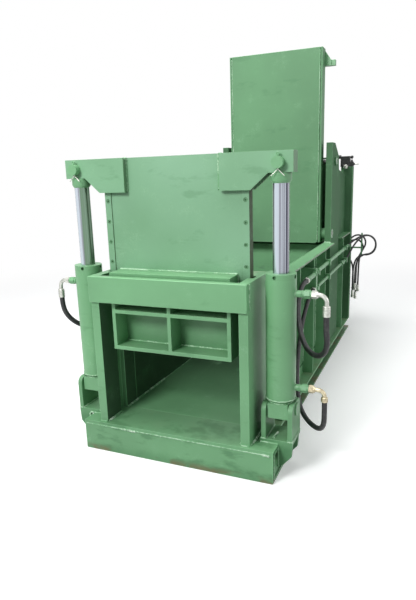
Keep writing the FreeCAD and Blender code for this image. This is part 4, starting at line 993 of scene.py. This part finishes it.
hoses = {
    "rightUpperHose": {
        "node": "right_upper_hose", "diameter": 0.029, "length": 1.119, "farEnd": "object",
        "route": [
            (0.790, 0.060, 0.844), (0.790, 0.060, 0.774), (0.794, 0.082, 0.700), (0.772, 0.132, 0.630),
            (0.712, 0.205, 0.585), (0.645, 0.290, 0.592), (0.592, 0.380, 0.640), (0.555, 0.470, 0.700),
            (0.528, 0.570, 0.755), (0.510, 0.680, 0.808), (0.502, 0.790, 0.843), (0.502, 0.886, 0.843)]},
    "rightLowerHose": {
        "node": "right_lower_hose", "diameter": 0.027, "length": 1.407, "farEnd": "object",
        "route": [
            (0.790, 0.060, 0.405), (0.790, 0.060, 0.338), (0.785, 0.082, 0.268), (0.757, 0.130, 0.216),
            (0.708, 0.192, 0.196), (0.646, 0.262, 0.205), (0.594, 0.340, 0.242), (0.562, 0.430, 0.298),
            (0.536, 0.522, 0.370), (0.520, 0.615, 0.448), (0.510, 0.705, 0.528), (0.503, 0.795, 0.602),
            (0.502, 0.885, 0.664), (0.502, 0.968, 0.708), (0.502, 1.032, 0.738), (0.502, 1.090, 0.738)]},
    "leftUpperHose": {
        "node": "left_upper_hose", "diameter": 0.029, "length": 1.166, "farEnd": "object",
        "route": [
            (-0.774, 0.060, 0.844), (-0.774, 0.060, 0.788), (-0.760, 0.076, 0.729), (-0.734, 0.112, 0.678),
            (-0.694, 0.164, 0.640), (-0.644, 0.232, 0.616), (-0.590, 0.312, 0.616), (-0.548, 0.400, 0.645),
            (-0.522, 0.495, 0.690), (-0.508, 0.600, 0.732), (-0.503, 0.708, 0.770), (-0.502, 0.808, 0.806),
            (-0.502, 0.900, 0.825), (-0.502, 0.986, 0.825)]},
    "rearHoseA": {
        "node": "rear_hose_a", "diameter": 0.016, "length": 0.896, "farEnd": "fitting",
        "route": [
            (0.502, 2.580, 0.848), (0.502, 2.635, 0.848), (0.508, 2.690, 0.858), (0.534, 2.738, 0.880),
            (0.576, 2.768, 0.907), (0.630, 2.772, 0.930), (0.685, 2.772, 0.920), (0.730, 2.772, 0.874),
            (0.730, 2.772, 0.801), (0.686, 2.772, 0.750), (0.622, 2.771, 0.742), (0.578, 2.764, 0.706),
            (0.558, 2.754, 0.648), (0.553, 2.748, 0.586), (0.552, 2.747, 0.525), (0.552, 2.747, 0.465)]},
    "rearHoseB": {
        "node": "rear_hose_b", "diameter": 0.016, "length": 1.121, "farEnd": "fitting",
        "route": [
            (0.502, 2.440, 0.738), (0.502, 2.495, 0.738), (0.506, 2.552, 0.748), (0.518, 2.608, 0.782),
            (0.538, 2.662, 0.832), (0.572, 2.712, 0.884), (0.616, 2.743, 0.922), (0.672, 2.751, 0.930),
            (0.722, 2.751, 0.896), (0.738, 2.751, 0.834), (0.720, 2.751, 0.774), (0.668, 2.750, 0.742),
            (0.606, 2.746, 0.744), (0.560, 2.732, 0.706), (0.542, 2.718, 0.648), (0.538, 2.710, 0.586),
            (0.537, 2.708, 0.525), (0.537, 2.708, 0.462), (0.538, 2.708, 0.400)]},
    "standHoseA": {
        "node": "stand_hoses", "diameter": 0.016, "length": 0.731, "farEnd": "fitting",
        "route": [
            (0.466, 2.768, 0.838), (0.466, 2.812, 0.838), (0.472, 2.849, 0.857), (0.491, 2.870, 0.888),
            (0.525, 2.876, 0.912), (0.567, 2.874, 0.917), (0.605, 2.870, 0.899), (0.626, 2.866, 0.863),
            (0.626, 2.862, 0.821), (0.607, 2.858, 0.784), (0.585, 2.853, 0.739), (0.573, 2.850, 0.680),
            (0.569, 2.850, 0.600), (0.568, 2.849, 0.430)]},
    "standHoseB": {
        "node": "stand_hoses", "diameter": 0.016, "length": 0.779, "farEnd": "fitting",
        "route": [
            (0.441, 2.768, 0.790), (0.441, 2.828, 0.790), (0.447, 2.865, 0.809), (0.466, 2.886, 0.840),
            (0.500, 2.892, 0.864), (0.542, 2.890, 0.870), (0.580, 2.886, 0.852), (0.601, 2.882, 0.816),
            (0.601, 2.878, 0.774), (0.582, 2.874, 0.737), (0.560, 2.869, 0.692), (0.548, 2.866, 0.633),
            (0.545, 2.866, 0.560), (0.544, 2.865, 0.352)]},
    "standHoseC": {
        "node": "stand_hoses", "diameter": 0.016, "length": 0.323, "farEnd": "fitting",
        "route": [
            (0.472, 2.768, 0.700), (0.472, 2.808, 0.700), (0.483, 2.845, 0.683), (0.498, 2.866, 0.650),
            (0.511, 2.866, 0.610), (0.517, 2.860, 0.551), (0.519, 2.857, 0.500), (0.520, 2.856, 0.450)]},
}

rearEndLook = {
    "sleeve": [(0, 0.0105), (0.002, 0.0128), (0.012, 0.0128), (0.014, 0.0116), (0.019, 0.0116),
               (0.021, 0.0128), (0.030, 0.0128), (0.032, 0.0116), (0.037, 0.0116), (0.039, 0.0128),
               (0.044, 0.0120), (0.046, 0.0100)],
    "nutLength": 0.021,
    "nutRadius": 0.0155,
}


def laidLine(curve, kind, places):
    line = curve.splines.new(kind)
    line.points.add(len(places) - 1)
    for point, place in zip(line.points, places):
        point.co = (*place, 1)
    return line


def hoseCurve(name, hose):
    curve = bpy.data.curves.new(name, "CURVE")
    curve.dimensions = "3D"
    curve.bevel_depth = hose["diameter"] / 2
    curve.bevel_resolution = hoseLook["roundSteps"]
    curve.resolution_u = hoseLook["alongSteps"]
    curve.use_fill_caps = True
    line = laidLine(curve, "NURBS", hose["route"])
    line.order_u = 3
    line.use_endpoint_u = True
    line.use_smooth = True
    return settle(placed(name, curve), "rubber", "frame", [hose["node"]])


def rearHoseEnd(name, hose):
    x, y, z = hose["route"][-1]
    sleeve = rearEndLook["sleeve"]
    build = Build()
    build.turned((x, y, z), (0, 0, -1), sleeve, 32)
    build.hexNut((x, y, z - sleeve[-1][0]), (0, 0, -1), rearEndLook["nutLength"],
                 rearEndLook["nutRadius"], 0.2)
    return build.done(name, "zinc", "frame", ["rear_hose_ends"])


for name, hose in hoses.items():
    piece = hoseCurve(name, hose)
    ends = []
    if hose["farEnd"] == "fitting":
        ends = [rearHoseEnd(name + "End", hose)]
print("hoses made")


# weld beads, swept along the seams by one geometry nodes tree

beadLook = {
    "step": 0.0030,            # from ring to ring
    "stepsPerRipple": 5,
    "ripple": 0.16,
    "swellScale": 55.0,
    "leastSwell": 0.65,
    "swell": 0.7,
    "unevenness": 0.0012,
    "sides": 7,
}


def beadTree():
    group = bpy.data.node_groups.new("weldBead", "GeometryNodeTree")
    face = group.interface
    face.new_socket("Seams", in_out="INPUT", socket_type="NodeSocketGeometry")
    for label in ("Bead Width", "Step Length", "Ripple Depth", "Unevenness"):
        face.new_socket(label, in_out="INPUT", socket_type="NodeSocketFloat")
    face.new_socket("Seed", in_out="INPUT", socket_type="NodeSocketInt")
    face.new_socket("Finish", in_out="INPUT", socket_type="NodeSocketMaterial")
    face.new_socket("Beads", in_out="OUTPUT", socket_type="NodeSocketGeometry")
    bead = Tree(group)
    inputs = group.nodes.new("NodeGroupInput").outputs
    given = {socket.name: Wire(group, socket) for socket in inputs}
    steps = bead.add("GeometryNodeResampleCurve", {"mode": "LENGTH"},
                     {"Curve": given["Seams"], "Length": given["Step Length"]})
    wave = bead.add("GeometryNodeInputIndex", {}, {}) * (2 * math.pi / beadLook["stepsPerRipple"])
    ripple = bead.add("ShaderNodeMath", {"operation": "SINE"}, {0: wave}) * given["Ripple Depth"]
    place = bead.add("GeometryNodeInputPosition", {}, {})
    slow = bead.add("ShaderNodeTexNoise", {},
                    {"Vector": place, "Scale": beadLook["swellScale"], "Detail": 2.0})
    swell = ripple + (slow * beadLook["swell"] + beadLook["leastSwell"])
    rounded = bead.add("GeometryNodeSetCurveRadius", {}, {"Curve": steps, "Radius": swell})
    jitter = bead.add("FunctionNodeRandomValue", {"data_type": "FLOAT_VECTOR"},
                      {0: (-1, -1, -1), 1: (1, 1, 1), "Seed": given["Seed"]})
    offset = bead.add("ShaderNodeVectorMath", {"operation": "SCALE"},
                      {0: jitter, "Scale": given["Unevenness"]})
    moved = bead.add("GeometryNodeSetPosition", {}, {"Geometry": rounded, "Offset": offset})
    ring = bead.add("GeometryNodeCurvePrimitiveCircle", {},
                    {"Resolution": beadLook["sides"], "Radius": given["Bead Width"] * 0.5})
    swept = bead.add("GeometryNodeCurveToMesh", {},
                     {"Curve": moved, "Profile Curve": ring, "Fill Caps": True})
    real = bead.add("GeometryNodeRealizeInstances", {}, {"Geometry": swept})
    smooth = bead.add("GeometryNodeSetShadeSmooth", {}, {"Geometry": real})
    coated = bead.add("GeometryNodeSetMaterial", {}, {"Geometry": smooth, "Material": given["Finish"]})
    bead.add("NodeGroupOutput", {}, {0: coated})
    return group


def setInputs(modifier, values):
    for item in modifier.node_group.interface.items_tree:
        if item.in_out == "INPUT" and item.name in values:
            modifier[item.identifier] = values[item.name]


def beads(name, tree, group):
    curve = bpy.data.curves.new(name + "Seams", "CURVE")
    curve.dimensions = "3D"
    for seam in group["seams"]():
        laidLine(curve, "POLY", seam)
    holder = placed(name + "Seams", curve)
    modifier = holder.modifiers.new("beads", "NODES")
    modifier.node_group = tree
    finish = group.get("finish", "weld")
    setInputs(modifier, {"Bead Width": group["width"], "Step Length": beadLook["step"],
                         "Ripple Depth": beadLook["ripple"], "Unevenness": beadLook["unevenness"],
                         "Seed": group["seed"], "Finish": finishes[finish]})
    return settle(placed(name, finishedMesh(holder)), finish, group["body"])


def bothSides(seams):
    return seams + [[(-x, y, z) for x, y, z in seam] for seam in seams]


def ringAround(centre, radius, level=False):
    # level rings lie flat, the others stand square to X
    x, y, z = centre
    steps = 48 if level else 24
    angles = [2 * math.pi * i / steps for i in range(steps + 1)]
    if level:
        return [(x + radius * math.cos(a), y + radius * math.sin(a), z) for a in angles]
    return [(x, y + radius * math.cos(a), z + radius * math.sin(a)) for a in angles]


seamPlaces = {     # on the machine's right, and bothSides repeats them on its left
    "postIn": 0.400, "postOut": 0.4485, "postFront": -0.103, "postRear": 0.220, "postSeamEnd": 0.118,
    "slotFront": 0.042, "slotRear": 0.105, "floorTop": 0.176, "frameTop": 1.019,
    "lintelLow": 0.877, "lintelRear": -0.080,
    "wallOut": 0.412, "wallTop": 0.956, "flangeUnder": 0.944, "flangeEnd": 1.920,
    "ramFace": 2.100, "ramForemost": 0.600, "towerOut": 0.460,
    "stiffeners": (0.386, 0.794, 1.202, 1.610), "stiffenerThick": 0.012,
    "plateX": (0.477, 0.649), "plateY": (-0.025, 0.145), "plateTop": 0.196,      # under a gate cylinder
    "plateCorner": (0.576, 0.052),
    "ears": ((0.485, 0.509), (0.623, 0.647)),                                    # of the lower clevis
}


def postSeams():
    at = seamPlaces
    out, rear, floor = at["postOut"], at["postRear"], at["floorTop"]
    front, lintel = at["postFront"], at["lintelRear"]
    return [
        [(at["postIn"] + 0.004, front, floor), (out - 0.002, front, floor)],
        [(out, front + 0.005, floor), (out, at["postSeamEnd"], floor)],
        [(out, lintel, at["lintelLow"] + 0.01), (out, lintel, at["frameTop"] - 0.006)],
        [(out - 0.004, rear, floor + 0.01), (out - 0.030, rear, floor + 0.01)],
        [(at["wallOut"], rear, floor + 0.02), (at["wallOut"], rear, at["flangeUnder"] - 0.02)],
    ]


def bracketSeams():
    at = seamPlaces
    floor, top = at["floorTop"], at["plateTop"]
    x0, x1 = at["plateX"]
    y0, y1 = at["plateY"]
    seams = [[(x0 + 0.006, y, floor), (x1 - 0.075, y, floor)] for y in (y0, y1 - 0.027)]
    x, foot = at["plateCorner"]
    seams.append([(x, y0 - 0.002, foot), (x, y0 - 0.002, floor - 0.006)])
    near, far = y0 + 0.004, y1 - 0.004
    for left, right in at["ears"]:
        corners = [(left, near, top), (right, near, top), (right, far, top), (left, far, top)]
        seams.append(corners + [corners[0]])
    return seams


def wallSeams():
    at = seamPlaces
    wall, flange, out = at["wallOut"], at["flangeUnder"], at["towerOut"]
    stiffenerLow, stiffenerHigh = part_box("wall_stiffeners")
    seams = []
    for y in at["stiffeners"]:
        for edge in (y, y + at["stiffenerThick"]):
            seams.append([(wall, edge, stiffenerLow.z + 0.08), (wall, edge, stiffenerHigh.z - 0.003)])
    seams.append([(wall, at["postRear"] + 0.01, flange), (wall, at["flangeEnd"], flange)])
    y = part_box("towers")[0].y
    seams.append([(wall, y, at["wallTop"] + 0.004), (out, y, at["wallTop"] + 0.004)])
    seams.append([(out, y + 0.004, at["wallTop"]), (out, y - 0.03, at["wallTop"])])
    return seams


def frameSeams():
    return bothSides(postSeams() + bracketSeams() + wallSeams())


def floorSeams():
    x, floor = seamPlaces["postIn"] - 0.002, seamPlaces["floorTop"] + 0.001
    front = [(x, seamPlaces["postFront"] + 0.01, floor), (x, seamPlaces["slotFront"] - 0.003, floor)]
    rear = [(x, seamPlaces["slotRear"] + 0.003, floor), (x, seamPlaces["ramForemost"] - 0.02, floor)]
    return bothSides([front, rear])


def ramSeams():
    # thinner where the ram passes close to the corner
    x, floor = seamPlaces["postIn"] + 0.0015, seamPlaces["floorTop"] - 0.0008
    start, end = seamPlaces["ramForemost"] - 0.018, seamPlaces["ramFace"] - 0.01
    return bothSides([[(x, start, floor), (x, end, floor)]])


hingeSeamLook = {
    "upper": {"setback": 0.001, "shaft": 0.020, "ring": 0.023},      # radii
    "lower": {"setback": 0.015, "shaft": 0.030, "ring": 0.033},
}


def hingeSeams():
    # the box of the shafts runs from the lower, front one to the upper, rear one
    low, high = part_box("lid_shafts")
    upper, lower = hingeSeamLook["upper"], hingeSeamLook["lower"]
    r = upper["shaft"]
    upperRing = ringAround((high.x - upper["setback"], high.y - r, high.z - r), upper["ring"])
    r = lower["shaft"]
    lowerRing = ringAround((high.x - lower["setback"], low.y + r, low.z + r), lower["ring"])
    return bothSides([upperRing, lowerRing])


gateSeamLook = {
    "armEnd": 0.268,
    "ribLevels": (0.626, 0.810, 0.830, 1.014),
    "ribHalf": 0.012,          # of the upright rib in the middle
    "ribEdge": 0.022,
}


def gateSeams():
    armLow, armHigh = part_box("gate_arms")
    ribLow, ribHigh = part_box("gate_ribs")
    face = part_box("gate_plate")[0].y
    front = face - 0.001
    end, half, edge = gateSeamLook["armEnd"], gateSeamLook["ribHalf"], gateSeamLook["ribEdge"]
    arm = [(end, front, armLow.z + 0.004), (end, front, armHigh.z - 0.002)]
    top = [(end, armLow.y + 0.008, armHigh.z - 0.004), (end, face, armHigh.z - 0.002)]
    rightEnd = [(end - 0.003, armLow.y + 0.005, z) for z in (armLow.z + 0.006, armHigh.z - 0.003)]
    seams = bothSides([arm, top]) + [rightEnd]
    seams.append([(ribLow.x, front, ribHigh.z), (ribHigh.x, front, ribHigh.z)])
    for x in (ribLow.x, ribHigh.x):
        seams.append([(x, front, ribLow.z), (x, front, ribHigh.z)])
    for level in gateSeamLook["ribLevels"]:
        for x0, x1 in ((ribLow.x + edge, -half), (half, ribHigh.x - edge)):
            seams.append([(x0, front, level), (x1, front, level)])
    return seams


sillLook = {
    "seamHigh": 0.156,
    "seamLow": 0.020,
    "frontBlobs": ((-0.305, -0.205), (-0.060, -0.050), (0.070, 0.094), (0.520, 0.556)),   # from x to x
    "topBlobs": (((0.545, -0.005, 0.197), (0.552, 0.060, 0.197)),
                 ((0.452, -0.060, 0.177), (0.454, 0.030, 0.177))),
}


def sillSeams():
    low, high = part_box("front_sill")
    z, foot = sillLook["seamHigh"], sillLook["seamLow"]
    near, far = low.y + 0.02, high.y - 0.03
    return [[(low.x + 0.012, low.y, z), (high.x - 0.012, low.y, z)], [(high.x, near, z), (high.x, far, z)],
            [(high.x, near, foot), (high.x, far, foot)], [(high.x, near, foot + 0.002), (high.x, near, z)],
            [(low.x, near, z), (low.x, far, z)]]


def sillBlobs():
    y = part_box("front_sill")[0].y
    z = sillLook["seamHigh"]
    front = [[(x0, y, z), (x1, y, z - 0.002)] for x0, x1 in sillLook["frontBlobs"]]
    return front + list(sillLook["topBlobs"])


def lidSeams():
    low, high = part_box("lid_skin")
    front = low.y + 0.001
    return [[(x, front, low.z + 0.02), (x, front, high.z - 0.02)] for x in (low.x, high.x)]


def lidFootSeam():
    low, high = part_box("lid_skin")
    return [[(x, low.y + 0.007, low.z - 0.002) for x in (low.x + 0.01, high.x - 0.01)]]


barrelSeamLook = {
    "rings": ((0.404, 0.0762), (0.386, 0.0640)),      # height and radius
    "portAcross": 0.6405,
    "portRadius": 0.018,
}


def barrelSeams():
    seams = []
    across, y = gateCylinder["across"], gateCylinder["along"]
    for side in (-1, 1):
        for z, radius in barrelSeamLook["rings"]:
            seams.append(ringAround((side * across, y, z), radius, level=True))
        ports = [gateCylinder["upperPort"]]
        if side > 0:
            ports.append(gateCylinder["lowerPort"])
        for z in ports:
            centre = (side * barrelSeamLook["portAcross"], y, z)
            seams.append(ringAround(centre, barrelSeamLook["portRadius"]))
    return seams


beadGroups = {
    "frameWelds": {"seams": frameSeams, "width": 0.011, "body": "frame", "seed": 3},
    "floorWelds": {"seams": floorSeams, "width": 0.015, "body": "frame", "seed": 15, "finish": "paleWeld"},
    "ramSideWelds": {"seams": ramSeams, "width": 0.0052, "body": "frame", "seed": 17, "finish": "paleWeld"},
    "hingeWelds": {"seams": hingeSeams, "width": 0.009, "body": "frame", "seed": 19, "finish": "paleWeld"},
    "gateWelds": {"seams": gateSeams, "width": 0.012, "body": "gate", "seed": 5},
    "sillWelds": {"seams": sillSeams, "width": 0.007, "body": "frame", "seed": 7},
    "sillBlobs": {"seams": sillBlobs, "width": 0.013, "body": "frame", "seed": 11, "finish": "paleWeld"},
    "lidWelds": {"seams": lidSeams, "width": 0.007, "body": "lid", "seed": 13},
    "lidFootWeld": {"seams": lidFootSeam, "width": 0.016, "body": "lid", "seed": 21, "finish": "lid"},
    "barrelWelds": {"seams": barrelSeams, "width": 0.006, "body": "frame", "seed": 9},
}

bead = beadTree()
for name, group in beadGroups.items():
    beads(name, bead, group)
print("welds laid")
